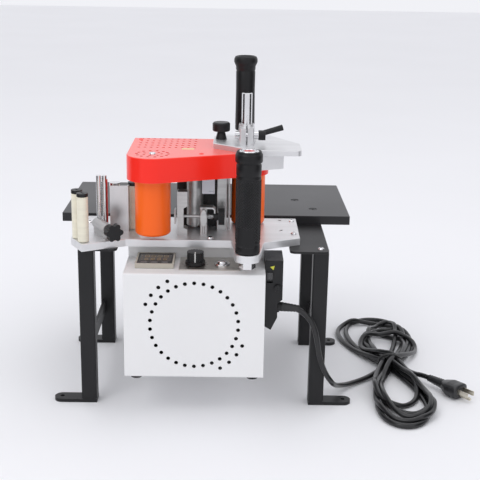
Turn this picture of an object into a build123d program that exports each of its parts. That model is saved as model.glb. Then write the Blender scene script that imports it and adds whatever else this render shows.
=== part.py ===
from build123d import *
import math
import os

# Portable edge banding machine on its steel bench frame.
# Frame: X to the operator's right, Y away from the operator, Z up from the floor.
# The origin is on the floor under the middle of the machine. All sizes in millimetres.

# bench frame
table_length = 400.0
table_depth = 192.0
table_thickness = 12.0
table_front_y = -1.9
strip_width = 50.0
strip_thickness = 3.0
strip_top_z = 213.5
strip_front_y = -134.0
strip_back_y = 100.0
leg_size = 20.0
leg_x = 150.0
leg_front_y = -121.5
leg_rear_y = 87.5
foot_thickness = 5.0
foot_reach = 197.0
foot_hole_x = 187.0
foot_hole_radius = 3.0
brace_bottom_z = 50.0
brace_height = 20.0

# base plate and control box
plate_thickness = 9.5
plate_top_z = strip_top_z + plate_thickness
grip_x = 55.0
grip_y = -173.5
box_left = -98.0
box_right = 78.0
box_front_y = -175.5
box_back_y = -19.5
box_bottom_z = 57.5
shelf_z = 195.0
shelf_back_y = -104.5
sheet = 1.2
vent_x = -10.0
vent_z = 128.0
vent_radius = 2.5
vent_ring_radius = 55.4
vent_outer_radius = 66.3

# glue and feed gear
motor_x = -65.0
motor_y = -114.5
motor_cover_radius = 22.5
rear_motor_x = 57.0
rear_motor_y = -31.5
housing_bottom_z = 302.0
housing_height = 31.0
housing_wall = 2.0
housing_top_z = housing_bottom_z + housing_height
gear_module = 2.0
drive_teeth = 24
idler_teeth = 15
roller_teeth = 20
glue_roller_direction = 46.0

# upper guide
guide_plate_z = 334.0
guide_plate_thickness = 6.0
post_x = 53.0
post_y = -62.0
post_radius = 6.8
rear_grip_x = 51.0
rear_grip_y = -27.0

running_gap = 0.05
body_gap = 0.4

cord_radius = 3.5

os.makedirs("parts", exist_ok=True)


def save(piece, name):
    """Label a finished piece and write it as its own STEP file."""
    piece.part.label = name
    export_step(piece.part, "parts/" + name + ".step")


# ---------------------------------------------------------------- bench frame
# Work table: a flat black coated plate with four countersunk screw holes.
table_middle_y = table_front_y + table_depth / 2
table_holes = [(-151.0, 38.0), (151.0, 38.0), (-128.0, 90.0), (128.0, 90.0)]
with BuildPart() as work_table:
    with BuildSketch(Plane.XY.offset(strip_top_z)):
        with Locations((0, table_middle_y)):
            RectangleRounded(table_length, table_depth, 2.0)
    extrude(amount=table_thickness)
    chamfer(work_table.faces().sort_by(Axis.Z)[-1].outer_wire().edges(), 0.6)
    with Locations([(x, y, strip_top_z + table_thickness) for x, y in table_holes]):
        CounterSinkHole(radius=3.1, counter_sink_radius=6.2)
save(work_table, "work_table")

# Flat steel strips from the front legs to the rear legs, under the table and the base plate.
strip_length = strip_back_y - strip_front_y
strip_x = leg_x + leg_size / 2 - strip_width / 2
strip_middle_y = (strip_front_y + strip_back_y) / 2
with BuildPart() as side_strips:
    for side in (-1, 1):
        with BuildSketch(Plane.XY.offset(strip_top_z - strip_thickness)):
            with Locations((side * strip_x, strip_middle_y)):
                RectangleRounded(strip_width, strip_length, 7.0)
            with Locations((side * leg_x, leg_front_y), (side * leg_x, leg_rear_y)):
                Circle(3.2, mode=Mode.SUBTRACT)
            with Locations((side * 151.0, 38.0), (side * 128.0, 90.0)):
                Circle(3.2, mode=Mode.SUBTRACT)
        extrude(amount=strip_thickness)
save(side_strips, "side_strips")

# Side frames: two square-tube legs welded to a flat brace, each leg on a foot tab that points outwards.
leg_top_z = strip_top_z - strip_thickness
leg_bore_height = leg_top_z - foot_thickness - 12.0
foot_tip_x = foot_reach - leg_size / 2
brace_length = leg_rear_y - leg_front_y - leg_size
with BuildPart() as side_frames:
    for side in (-1, 1):
        for leg_y in (leg_front_y, leg_rear_y):
            with BuildSketch(Plane.XY.offset(foot_thickness)):
                with Locations((side * leg_x, leg_y)):
                    RectangleRounded(leg_size, leg_size, 2.5)
            extrude(amount=leg_top_z - foot_thickness)
            with BuildSketch(Plane.XY):
                with Locations((side * (leg_x - leg_size / 2 + foot_tip_x) / 2, leg_y)):
                    Rectangle(foot_tip_x - leg_x + leg_size / 2, leg_size)
                with Locations((side * foot_tip_x, leg_y)):
                    Circle(leg_size / 2)
                with Locations((side * foot_hole_x, leg_y)):
                    Circle(foot_hole_radius, mode=Mode.SUBTRACT)
            extrude(amount=foot_thickness)
        with BuildSketch(Plane.XY.offset(brace_bottom_z)):
            with Locations((side * (leg_x + 5.0), (leg_front_y + leg_rear_y) / 2)):
                Rectangle(4.0, brace_length)
        extrude(amount=brace_height)
        for leg_y in (leg_front_y, leg_rear_y):
            with BuildSketch(Plane.XY.offset(foot_thickness)):
                with Locations((side * leg_x, leg_y)):
                    RectangleRounded(leg_size - 3.0, leg_size - 3.0, 1.2)
            extrude(amount=leg_bore_height, mode=Mode.SUBTRACT)
            with BuildSketch(Plane.XY.offset(leg_top_z - 12.0)):
                with Locations((side * leg_x, leg_y)):
                    Circle(3.2)
            extrude(amount=12.0, mode=Mode.SUBTRACT)
save(side_frames, "side_frames")

# ---------------------------------------------------------------- base plate
# Milled aluminium plate: a lobe for the tape guides on the left, a tongue for the front grip.
plate_back_y = table_front_y - 5.0
tongue_radius = 16.0
with BuildPart() as base_plate:
    with BuildSketch(Plane.XY.offset(strip_top_z)):
        with BuildLine():
            Polyline(
                (-170, plate_back_y),
                (-170, -116),
                (-152, -148),
                (-124, -132),
                (-100, -121),
                (grip_x - tongue_radius - 4, -121),
                (grip_x - tongue_radius, grip_y),
            )
            ThreePointArc(
                (grip_x - tongue_radius, grip_y),
                (grip_x, grip_y - tongue_radius),
                (grip_x + tongue_radius, grip_y),
            )
            Polyline(
                (grip_x + tongue_radius, grip_y),
                (grip_x + tongue_radius + 6, -128),
                (124, -104),
                (124, plate_back_y),
                (-170, plate_back_y),
            )
        make_face()
    extrude(amount=plate_thickness)
    chamfer(base_plate.faces().sort_by(Axis.Z)[-1].outer_wire().edges(), 0.6)
    with Locations([(x, y, plate_top_z) for x, y in ((101, -18), (101, -68))]):
        Hole(radius=2.5, depth=6.0)
    with Locations((grip_x, grip_y, plate_top_z)):
        Hole(radius=5.1)
save(base_plate, "base_plate")

# ---------------------------------------------------------------- control box
# Folded white sheet: stepped side profile, closed at the top under the base plate, open at the back.
box_width = box_right - box_left
box_middle_x = (box_left + box_right) / 2
box_top_z = strip_top_z
controller_x = -61.0
controller_y = -130.0
controller_size = 48.0
speed_x = -10.0
button_x = 24.0
controls_y = -139.0
module_y = -127.0
with BuildPart() as control_box:
    with BuildSketch(Plane.YZ.offset(box_left)):
        with BuildLine():
            Polyline(
                (box_front_y, box_bottom_z),
                (box_back_y, box_bottom_z),
                (box_back_y, box_top_z),
                (shelf_back_y, box_top_z),
                (shelf_back_y, shelf_z),
                (box_front_y, shelf_z),
                close=True,
            )
        make_face()
    extrude(amount=box_width)
    fillet(control_box.edges().filter_by(Axis.X).group_by(Axis.Y)[0], 2.2)
    with BuildSketch(Plane.YZ.offset(box_left + sheet)):
        with BuildLine():
            Polyline(
                (box_front_y + sheet, box_bottom_z + sheet),
                (box_back_y, box_bottom_z + sheet),
                (box_back_y, box_top_z - sheet),
                (shelf_back_y + sheet, box_top_z - sheet),
                (shelf_back_y + sheet, shelf_z - sheet),
                (box_front_y + sheet, shelf_z - sheet),
                close=True,
            )
        make_face()
    extrude(amount=box_width - 2 * sheet, mode=Mode.SUBTRACT)
    with BuildSketch(Plane.XZ.offset(-box_front_y)):
        with Locations((vent_x, vent_z)):
            with PolarLocations(vent_ring_radius, 30, start_angle=90):
                Circle(vent_radius)
            with PolarLocations(vent_outer_radius, 4, start_angle=120, angular_range=36, endpoint=True):
                Circle(vent_radius)
            with PolarLocations(vent_outer_radius, 4, start_angle=300, angular_range=36, endpoint=True):
                Circle(vent_radius)
    extrude(amount=-3.0, mode=Mode.SUBTRACT)
    with BuildSketch(Plane.XY.offset(shelf_z + 1)):
        with Locations((controller_x, controller_y)):
            Rectangle(45.4, 45.4)
        with Locations((speed_x, controls_y)):
            Circle(5.5)
        with Locations((button_x, controls_y)):
            Circle(8.5)
    extrude(amount=-4.0, mode=Mode.SUBTRACT)
    with BuildSketch(Plane.YZ.offset(box_right + 1)):
        with Locations((module_y, 160)):
            Rectangle(24, 40)
    extrude(amount=-4.0, mode=Mode.SUBTRACT)
save(control_box, "control_box")

# Back cover: flat sheet screwed into the open back, with cooling slots.
with BuildPart() as box_back_cover:
    with BuildSketch(Plane.XZ.offset(-box_back_y)):
        with Locations((box_middle_x, (box_bottom_z + box_top_z) / 2)):
            Rectangle(box_width, box_top_z - box_bottom_z)
        with GridLocations(12, 0, 8, 1):
            with Locations((box_middle_x, 100)):
                SlotOverall(30, 4, rotation=90)
    extrude(amount=-sheet)
save(box_back_cover, "box_back_cover")

# Four black rubber feet under the control box.
with BuildPart() as box_feet:
    for x in (box_left + 14, box_right - 14):
        for y in (box_front_y + 14, box_back_y - 14):
            with BuildSketch(Plane.XY.offset(box_bottom_z - 5.0)):
                with Locations((x, y)):
                    Circle(7.0)
            extrude(amount=5.0, taper=-8)
save(box_feet, "box_feet")

floor_inside = box_bottom_z + sheet
# Temperature controller: square bezel on the shelf, case hanging inside the box.
bezel_height = 6.0
key_radius_gap = 0.3
key_length = 8.0
key_width = 4.0
key_y = controller_y - 17.0
key_xs = [controller_x - 13.0 + 13.0 * i for i in range(3)]
bezel_top_z = shelf_z + bezel_height
with BuildPart() as temperature_controller:
    with BuildSketch(Plane.XY.offset(shelf_z)):
        with Locations((controller_x, controller_y)):
            RectangleRounded(controller_size, controller_size, 2.0)
    extrude(amount=bezel_height)
    chamfer(temperature_controller.faces().sort_by(Axis.Z)[-1].outer_wire().edges(), 1.2)
    with BuildSketch(Plane.XY.offset(bezel_top_z)):
        with Locations((controller_x, controller_y + 4.5)):
            Rectangle(41.0, 30.0)
    extrude(amount=-1.0, mode=Mode.SUBTRACT)
    with BuildSketch(Plane.XY.offset(bezel_top_z)):
        for key_x in key_xs:
            with Locations((key_x, key_y)):
                Rectangle(key_length + 2 * key_radius_gap, key_width + 2 * key_radius_gap)
    extrude(amount=-3.0, mode=Mode.SUBTRACT)
    with BuildSketch(Plane.XY.offset(shelf_z)):
        with Locations((controller_x, controller_y)):
            Rectangle(44.8, 44.8)
    extrude(amount=-62.0)
save(temperature_controller, "temperature_controller")

# Three controller keys, each a small pad that travels down into the bezel.
for number, key_x in enumerate(key_xs, start=1):
    with BuildPart() as controller_key:
        with BuildSketch(Plane.XY.offset(bezel_top_z - 2.0)):
            with Locations((key_x, key_y)):
                Rectangle(key_length, key_width)
        extrude(amount=2.8)
        fillet(controller_key.faces().sort_by(Axis.Z)[-1].edges(), 0.6)
    save(controller_key, "controller_key_%d" % number)

# Brushed strip that carries the speed knob and the push button.
panel_thickness = 1.5
panel_top_z = shelf_z + panel_thickness
with BuildPart() as control_panel:
    with BuildSketch(Plane.XY.offset(shelf_z)):
        with Locations((8.5, -134)):
            RectangleRounded(77, 52, 1.5)
        with Locations((speed_x, controls_y)):
            Circle(4.6, mode=Mode.SUBTRACT)
        with Locations((button_x, controls_y)):
            Circle(8.2, mode=Mode.SUBTRACT)
    extrude(amount=panel_thickness)
save(control_panel, "control_panel")

# Control electronics: a board on four spacers with a heat sink and two relays, and the speed
# potentiometer, whose threaded bush comes up through the panel and takes the knob's shaft.
with BuildPart() as control_electronics:
    with BuildSketch(Plane.XY.offset(floor_inside + 8)):
        with Locations((-44, -90)):
            RectangleRounded(86, 110, 3)
    extrude(amount=1.6)
    with BuildSketch(Plane.XY.offset(floor_inside)):
        with Locations((-44, -90)):
            with GridLocations(76, 100, 2, 2):
                Circle(3)
    extrude(amount=8.0)
    with BuildSketch(Plane.XY.offset(floor_inside + 9.6)):
        with Locations((-64, -60)):
            Rectangle(20, 40)
        with Locations((-26, -60), (-26, -84)):
            Rectangle(28, 14)
    extrude(amount=18.0)
    with BuildSketch(Plane.XY.offset(shelf_z - sheet)):
        with Locations((speed_x, controls_y)):
            Circle(12)
    extrude(amount=-12.0)
    with BuildSketch(Plane.XY.offset(shelf_z - sheet)):
        with Locations((speed_x, controls_y)):
            Circle(4.5)
    extrude(amount=sheet + panel_thickness + 3.0)
    with BuildSketch(Plane.XY.offset(panel_top_z + 3.0)):
        with Locations((speed_x, controls_y)):
            Circle(3.0 + running_gap)
    extrude(amount=-12.0, mode=Mode.SUBTRACT)
save(control_electronics, "control_electronics")

# Speed knob: ribbed black knob with a pointer groove, on its shaft.
knob_bottom_z = panel_top_z + 1.0
knob_height = 16.0
with BuildPart() as speed_knob:
    with BuildSketch(Plane.XY.offset(knob_bottom_z)):
        with Locations((speed_x, controls_y)):
            Circle(12.5)
    extrude(amount=4.0)
    with BuildSketch(Plane.XY.offset(knob_bottom_z + 4.0)):
        with Locations((speed_x, controls_y)):
            Circle(10.6)
            with PolarLocations(10.6, 18, start_angle=10):
                Circle(0.9, mode=Mode.SUBTRACT)
    extrude(amount=knob_height - 4.0)
    with BuildSketch(Plane.XY.offset(knob_bottom_z)):
        with Locations((speed_x, controls_y)):
            Circle(5.2)
    extrude(amount=5.0, mode=Mode.SUBTRACT)
    with BuildSketch(Plane.XY.offset(knob_bottom_z - 6.0)):
        with Locations((speed_x, controls_y)):
            Circle(3.0)
    extrude(amount=14.0)
    with BuildSketch(Plane.XY.offset(knob_bottom_z + knob_height)):
        with Locations((speed_x, controls_y - 5.5)):
            Rectangle(1.4, 9.0)
    extrude(amount=-0.6, mode=Mode.SUBTRACT)
save(speed_knob, "speed_knob")

# Push button: a chromed bezel with a barrel below it, and a domed cap that travels inside.
with BuildPart() as button_bezel:
    with BuildSketch(Plane.XY.offset(panel_top_z)):
        with Locations((button_x, controls_y)):
            Circle(10.0)
    extrude(amount=2.4)
    chamfer(button_bezel.faces().sort_by(Axis.Z)[-1].edges(), 0.8)
    with BuildSketch(Plane.XY.offset(panel_top_z)):
        with Locations((button_x, controls_y)):
            Circle(8.0)
    extrude(amount=-22.0)
    with BuildSketch(Plane.XY.offset(panel_top_z + 2.4)):
        with Locations((button_x, controls_y)):
            Circle(6.5 + running_gap)
    extrude(amount=-12.0, mode=Mode.SUBTRACT)
save(button_bezel, "button_bezel")

with BuildPart() as push_button:
    with BuildSketch(Plane.XY.offset(panel_top_z - 5.0)):
        with Locations((button_x, controls_y)):
            Circle(6.5)
    extrude(amount=10.5)
    fillet(push_button.faces().sort_by(Axis.Z)[-1].edges(), 2.4)
save(push_button, "push_button")

# ---------------------------------------------------------------- power module
# Black moulded power module on the right wall: switch, fuse carrier and the cable gland.
module_left = box_right
module_right = 101.0
module_front_y = -150.0
module_back_y = -104.0
rocker_x = 84.5
rocker_y = -146.0
rocker_z = 184.0
rocker_radius = 7.0
fuse_x = 94.5
fuse_z = 170.0
gland_y = -138.0
gland_z = 141.0
gland_face_x = 95.0
gland_end_x = gland_face_x + 5.0
with BuildPart() as power_module:
    with BuildSketch(Plane.XZ.offset(-module_front_y)):
        with BuildLine():
            Polyline(
                (module_left, 118),
                (module_left, 206),
                (module_right, 206),
                (module_right, 154),
                (gland_face_x, 149),
                (gland_face_x, 130),
                (module_left + 9, 113),
                close=True,
            )
        make_face()
    extrude(amount=-(module_back_y - module_front_y))
    fillet(power_module.faces().sort_by(Axis.Y)[0].edges(), 1.2)
    with BuildSketch(Plane.XZ.offset(-module_front_y)):
        with Locations((rocker_x, rocker_z)):
            Rectangle(7.8, 15.4)
    extrude(amount=-12.0, mode=Mode.SUBTRACT)
    with BuildSketch(Plane.XZ.offset(-module_front_y)):
        with Locations((fuse_x, fuse_z)):
            Circle(3.0)
    extrude(amount=-10.0, mode=Mode.SUBTRACT)
save(power_module, "power_module")

# Rocker of the mains switch: a round-backed rocker cut to two flats.
with BuildPart() as rocker_switch:
    with BuildSketch(Plane.YZ.offset(rocker_x - 3.5)):
        with BuildLine():
            CenterArc((rocker_y, rocker_z), rocker_radius, -100, 220)
            Line(
                (rocker_y + rocker_radius * math.cos(math.radians(120)),
                 rocker_z + rocker_radius * math.sin(math.radians(120))),
                (rocker_y - 4.6, rocker_z),
            )
            Line(
                (rocker_y - 4.6, rocker_z),
                (rocker_y + rocker_radius * math.cos(math.radians(-100)),
                 rocker_z + rocker_radius * math.sin(math.radians(-100))),
            )
        make_face()
    extrude(amount=7.0)
save(rocker_switch, "rocker_switch")

# Fuse carrier: a round bayonet cap with a slot.
with BuildPart() as fuse_cap:
    with BuildSketch(Plane.XZ.offset(-module_front_y + body_gap)):
        with Locations((fuse_x, fuse_z)):
            Circle(4.6)
    extrude(amount=3.0)
    chamfer(fuse_cap.faces().sort_by(Axis.Y)[0].edges(), 0.5)
    with BuildSketch(Plane.XZ.offset(-module_front_y + body_gap + 3.0)):
        with Locations((fuse_x, fuse_z)):
            Rectangle(1.2, 7.0)
    extrude(amount=-1.0, mode=Mode.SUBTRACT)
    with BuildSketch(Plane.XZ.offset(-module_front_y + body_gap)):
        with Locations((fuse_x, fuse_z)):
            Circle(3.0 - running_gap)
    extrude(amount=-9.0)
save(fuse_cap, "fuse_cap")

# Cable gland: a ribbed collar on the right face of the module.
with BuildPart() as cable_gland:
    with BuildSketch(Plane.YZ.offset(gland_face_x)):
        with Locations((gland_y, gland_z)):
            RegularPolygon(7.6, 6)
    extrude(amount=2.5)
    with BuildSketch(Plane.YZ.offset(gland_face_x + 2.5)):
        with Locations((gland_y, gland_z)):
            Circle(6.0)
    extrude(amount=2.5)
save(cable_gland, "cable_gland")

# ---------------------------------------------------------------- front grip
# Rubber sleeve on a long bolt through the tongue, with a flanged top.
grip_radius = 15.2
grip_top_z = 350.0
with BuildPart() as front_grip:
    with BuildSketch(Plane.XZ.offset(-grip_y)):
        with BuildLine():
            Polyline(
                (grip_x + 5.05, plate_top_z),
                (grip_x + grip_radius, plate_top_z),
                (grip_x + grip_radius, 334),
                (grip_x + 16.6, 337),
                (grip_x + 16.6, 347),
                (grip_x + 14.6, grip_top_z),
                (grip_x + 12.2, grip_top_z),
                (grip_x + 12.2, 346),
                (grip_x + 5.05, 346),
                close=True,
            )
        make_face()
    revolve(axis=Axis((grip_x, grip_y, 0), (0, 0, 1)))
save(front_grip, "front_grip")

# Chromed end cap of the front grip with a red insert disc.
with BuildPart() as grip_cap:
    with BuildSketch(Plane.XY.offset(346.0)):
        with Locations((grip_x, grip_y)):
            Circle(12.1)
            Circle(7.0, mode=Mode.SUBTRACT)
    extrude(amount=5.0)
    chamfer(grip_cap.faces().sort_by(Axis.Z)[-1].outer_wire().edges(), 1.0)
    with BuildSketch(Plane.XY.offset(346.0)):
        with Locations((grip_x, grip_y)):
            Circle(6.9)
    extrude(amount=4.4)
save(grip_cap, "grip_cap")

# ---------------------------------------------------------------- motors and gear housing
# Motor covers: orange moulded cups, closed below and open under the gear housing.
for x, y, bottom_z, name in (
    (motor_x, motor_y, 230.0, "motor_cover_front"),
    (rear_motor_x, rear_motor_y, 224.0, "motor_cover_rear"),
):
    with BuildPart() as motor_cover:
        with BuildSketch(Plane.XY.offset(bottom_z)):
            with Locations((x, y)):
                Circle(motor_cover_radius)
        extrude(amount=housing_bottom_z - bottom_z)
        fillet(motor_cover.faces().sort_by(Axis.Z)[0].edges(), 4.0)
        with BuildSketch(Plane.XY.offset(housing_bottom_z - 5.0)):
            with Locations((x, y)):
                Circle(motor_cover_radius + 1.0)
        extrude(amount=5.0)
        with BuildSketch(Plane.XY.offset(bottom_z + 2.5)):
            with Locations((x, y)):
                Circle(motor_cover_radius - 2.0)
        extrude(amount=housing_bottom_z - bottom_z, mode=Mode.SUBTRACT)
    save(motor_cover, name)

# Geared motors inside the covers. The front one has a bore for the drive gear's shaft.
with BuildPart() as geared_motors:
    for x, y, bottom_z in ((motor_x, motor_y, 234.0), (rear_motor_x, rear_motor_y, 228.0)):
        with BuildSketch(Plane.XY.offset(bottom_z)):
            with Locations((x, y)):
                Circle(18.5)
        extrude(amount=housing_bottom_z - bottom_z)
    with BuildSketch(Plane.XY.offset(housing_bottom_z)):
        with Locations((motor_x, motor_y)):
            Circle(3.0 + running_gap)
    extrude(amount=-14.0, mode=Mode.SUBTRACT)
save(geared_motors, "geared_motors")

# Outline of the housing: straight left side, round corner over the front motor, slanted front face.
slant = math.radians(21.8)
corner_radius = 32.5
nose_radius = 26.0
nose_x = 56.0
nose_y = motor_y - corner_radius / math.cos(slant)
nose_y = nose_y + (nose_x - motor_x) * math.tan(slant) + nose_radius / math.cos(slant)
housing_right_x = nose_x + nose_radius
housing_back_y = -6.0


def housing_outline(inset):
    """Draw the closed outline of the gear housing, moved inwards by inset."""
    corner = corner_radius - inset
    nose = nose_radius - inset
    left = (motor_x - corner, motor_y)
    middle_angle = math.pi / 4 + slant / 2
    corner_middle = (motor_x - corner * math.cos(middle_angle), motor_y - corner * math.sin(middle_angle))
    corner_end = (motor_x + corner * math.sin(slant), motor_y - corner * math.cos(slant))
    nose_start = (nose_x + nose * math.sin(slant), nose_y - nose * math.cos(slant))
    half = (slant - math.pi / 2) / 2
    nose_middle = (nose_x + nose * math.cos(half), nose_y + nose * math.sin(half))
    nose_end = (nose_x + nose, nose_y)
    ThreePointArc(left, corner_middle, corner_end)
    Line(corner_end, nose_start)
    ThreePointArc(nose_start, nose_middle, nose_end)
    Polyline(
        nose_end,
        (nose_x + nose, housing_back_y - 8.0),
        (nose_x + nose - 8.0 + inset, housing_back_y - inset),
        (motor_x - corner, housing_back_y - inset),
        left,
    )


# Red gear cover, open below, with a ring of holes over the motor and a field of holes behind it.
with BuildPart() as gear_cover:
    with BuildSketch(Plane.XY.offset(housing_bottom_z)):
        with BuildLine():
            housing_outline(0.0)
        make_face()
    extrude(amount=housing_height)
    fillet(gear_cover.faces().sort_by(Axis.Z)[-1].outer_wire().edges(), 1.5)
    with BuildSketch(Plane.XY.offset(housing_bottom_z)):
        with BuildLine():
            housing_outline(housing_wall)
        make_face()
    extrude(amount=housing_height - housing_wall, mode=Mode.SUBTRACT)
    with BuildSketch(Plane.XY.offset(housing_top_z)):
        with Locations((motor_x, motor_y)):
            with PolarLocations(20.0, 14):
                Circle(2.0)
            with PolarLocations(11.5, 7):
                Circle(1.8)
        with Locations((-50, -42)):
            with GridLocations(8.0, 15.0, 10, 5):
                Circle(1.9)
        with Locations((-46, -34.5)):
            with GridLocations(8.0, 15.0, 9, 4):
                Circle(1.9)
    extrude(amount=-housing_wall - 1.0, mode=Mode.SUBTRACT)
save(gear_cover, "gear_cover")

# Steel floor of the housing. The glue roller's shaft runs in it, and it carries the idler's pin.
train_angle = math.radians(glue_roller_direction)
drive_radius = gear_module * drive_teeth / 2
idler_radius = gear_module * idler_teeth / 2
roller_gear_radius = gear_module * roller_teeth / 2
idler_x = motor_x + (drive_radius + idler_radius) * math.cos(train_angle)
idler_y = motor_y + (drive_radius + idler_radius) * math.sin(train_angle)
train_length = drive_radius + 2 * idler_radius + roller_gear_radius
roller_x = motor_x + train_length * math.cos(train_angle)
roller_y = motor_y + train_length * math.sin(train_angle)
floor_thickness = 3.0
with BuildPart() as gear_housing_floor:
    with BuildSketch(Plane.XY.offset(housing_bottom_z)):
        with BuildLine():
            housing_outline(housing_wall + 0.3)
        make_face()
        with Locations((motor_x, motor_y)):
            Circle(7.0, mode=Mode.SUBTRACT)
        with Locations((roller_x, roller_y)):
            Circle(5.0 + running_gap, mode=Mode.SUBTRACT)
    extrude(amount=floor_thickness)
    with BuildSketch(Plane.XY.offset(housing_bottom_z + floor_thickness)):
        with Locations((idler_x, idler_y)):
            Circle(3.0)
    extrude(amount=19.0)
save(gear_housing_floor, "gear_housing_floor")


def gear_points(teeth, x, y, tooth_angle):
    """Corners of a spur gear with straight-sided teeth, one tooth pointing along tooth_angle."""
    pitch = gear_module * teeth / 2
    root = pitch - 1.25 * gear_module
    tip = pitch + 0.8 * gear_module
    half_root = 0.30 * math.tau / teeth
    half_tip = 0.11 * math.tau / teeth
    points = []
    for i in range(teeth):
        middle = tooth_angle + math.tau * i / teeth
        for radius, angle in ((root, -half_root), (tip, -half_tip), (tip, half_tip), (root, half_root)):
            points.append((x + radius * math.cos(middle + angle), y + radius * math.sin(middle + angle)))
    return points


gear_bottom_z = housing_bottom_z + 6.0
gear_width = 12.0
idler_tooth = train_angle + math.pi + math.pi / idler_teeth
with BuildPart() as drive_gear:
    with BuildSketch(Plane.XY.offset(gear_bottom_z)):
        with BuildLine():
            Polyline(*gear_points(drive_teeth, motor_x, motor_y, train_angle), close=True)
        make_face()
    extrude(amount=gear_width)
    with BuildSketch(Plane.XY.offset(gear_bottom_z)):
        with Locations((motor_x, motor_y)):
            Circle(3.0)
    extrude(amount=-18.0)
save(drive_gear, "drive_gear")

with BuildPart() as idler_gear:
    with BuildSketch(Plane.XY.offset(gear_bottom_z)):
        with BuildLine():
            Polyline(*gear_points(idler_teeth, idler_x, idler_y, idler_tooth), close=True)
        make_face()
        with Locations((idler_x, idler_y)):
            Circle(3.0 + running_gap, mode=Mode.SUBTRACT)
    extrude(amount=gear_width)
save(idler_gear, "idler_gear")

roller_tooth = train_angle + math.pi + math.pi / roller_teeth
with BuildPart() as roller_gear:
    with BuildSketch(Plane.XY.offset(gear_bottom_z)):
        with BuildLine():
            Polyline(*gear_points(roller_teeth, roller_x, roller_y, roller_tooth), close=True)
        make_face()
        with Locations((roller_x, roller_y)):
            Circle(5.0, mode=Mode.SUBTRACT)
    extrude(amount=gear_width)
save(roller_gear, "roller_gear")

# Glue roller: knurled steel roller on a shaft that goes up through the housing floor.
with BuildPart() as glue_roller:
    with BuildSketch(Plane.XY.offset(228.0)):
        with Locations((roller_x, roller_y)):
            Circle(11.0)
    extrude(amount=68.0)
    chamfer(glue_roller.edges(), 0.8)
    with BuildSketch(Plane.XY.offset(225.0)):
        with Locations((roller_x, roller_y)):
            Circle(5.0)
    extrude(amount=gear_bottom_z + gear_width + 1.0 - 225.0)
save(glue_roller, "glue_roller")

# Glue pot: black casting behind the glue roller, hollowed from above and scooped round the roller.
pot_front_y = roller_y + 9.0
with BuildPart() as glue_pot:
    with BuildSketch(Plane.XY.offset(plate_top_z)):
        with Locations((roller_x + 2.0, (pot_front_y - 22.0) / 2)):
            Rectangle(52.0, -22.0 - pot_front_y)
    extrude(amount=housing_bottom_z - plate_top_z)
    with BuildSketch(Plane.XY.offset(plate_top_z)):
        with Locations((roller_x, roller_y)):
            Circle(12.2)
        with Locations([(roller_x + 16.0 + 5.0 * i, pot_front_y) for i in (0, 1, 2)]):
            Rectangle(2.0, 3.0)
        with Locations([(roller_x - 15.0 - 4.5 * i, pot_front_y) for i in (0, 1)]):
            Rectangle(2.0, 3.0)
    extrude(amount=housing_bottom_z - plate_top_z, mode=Mode.SUBTRACT)
    with BuildSketch(Plane.XY.offset(housing_bottom_z)):
        with Locations((roller_x + 2.0, -29.0)):
            RectangleRounded(40.0, 9.0, 2.0)
    extrude(amount=-60.0, mode=Mode.SUBTRACT)
save(glue_pot, "glue_pot")

# Pressure roller behind the pot: rubber sleeve that turns on a fixed pin.
pressure_x = 21.0
pressure_y = -16.0
with BuildPart() as pressure_roller:
    with BuildSketch(Plane.XY.offset(plate_top_z + 3.4)):
        with Locations((pressure_x, pressure_y)):
            Circle(8.4)
            Circle(3.0 + running_gap, mode=Mode.SUBTRACT)
    extrude(amount=72.0)
    chamfer(pressure_roller.edges().filter_by(GeomType.CIRCLE).group_by(SortBy.RADIUS)[-1], 0.8)
save(pressure_roller, "pressure_roller")

# Steel column and thin guide rod that tie the housing floor to the base plate.
with BuildPart() as housing_columns:
    with BuildSketch(Plane.XY.offset(plate_top_z)):
        with Locations((22.0, -62.0)):
            RectangleRounded(13.0, 20.0, 1.0)
    extrude(amount=housing_bottom_z - plate_top_z)
    with BuildSketch(Plane.XY.offset(plate_top_z)):
        with Locations((31.5, -66.0)):
            Circle(1.6)
    extrude(amount=housing_bottom_z - plate_top_z)
save(housing_columns, "housing_columns")

# ---------------------------------------------------------------- tape cutter
# Cutter frame: a stepped block at the left end of the push rod, and a bracket with a folded tape
# stop at its right end.
rod_y = -92.0
rod_z = 247.0
rod_radius = 2.0
with BuildPart() as cutter_frame:
    with BuildSketch(Plane.XZ.offset(-(rod_y - 8.0))):
        with BuildLine():
            Polyline(
                (-35, plate_top_z),
                (-35, 240),
                (-35, 281),
                (-22, 281),
                (-22, 262),
                (-27, 259),
                (-27, 233),
                (-22, 231),
                (-22, plate_top_z),
                close=True,
            )
        make_face()
    extrude(amount=-16.0)
    fillet(cutter_frame.edges().filter_by(Axis.Y), 0.6)
    with BuildSketch(Plane.YZ.offset(-40.0)):
        with Locations((rod_y, rod_z)):
            Circle(rod_radius + running_gap)
    extrude(amount=20.0, mode=Mode.SUBTRACT)

    with BuildSketch(Plane.XY.offset(plate_top_z)):
        with Locations((-1.0, rod_y)):
            RectangleRounded(9.0, 12.0, 1.2)
    extrude(amount=258.0 - plate_top_z)
    with BuildSketch(Plane.YZ.offset(-10.0)):
        with Locations((rod_y, rod_z)):
            Circle(rod_radius + running_gap)
    extrude(amount=20.0, mode=Mode.SUBTRACT)
    with BuildSketch(Plane.XZ.offset(-(rod_y - 6.0))):
        with Locations((-1.0, rod_z)):
            Circle(1.5 + running_gap)
    extrude(amount=-3.0, mode=Mode.SUBTRACT)
    with BuildSketch(Plane.XZ.offset(-(rod_y - 5.0))):
        with BuildLine():
            Polyline(
                (-5.5, 258),
                (-5.5, 260),
                (11.0, 260),
                (14.0, 257),
                (14.0, 252),
                (12.4, 252),
                (12.4, 256.2),
                (10.2, 258),
                close=True,
            )
        make_face()
    extrude(amount=-15.0)
save(cutter_frame, "cutter_frame")

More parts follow.
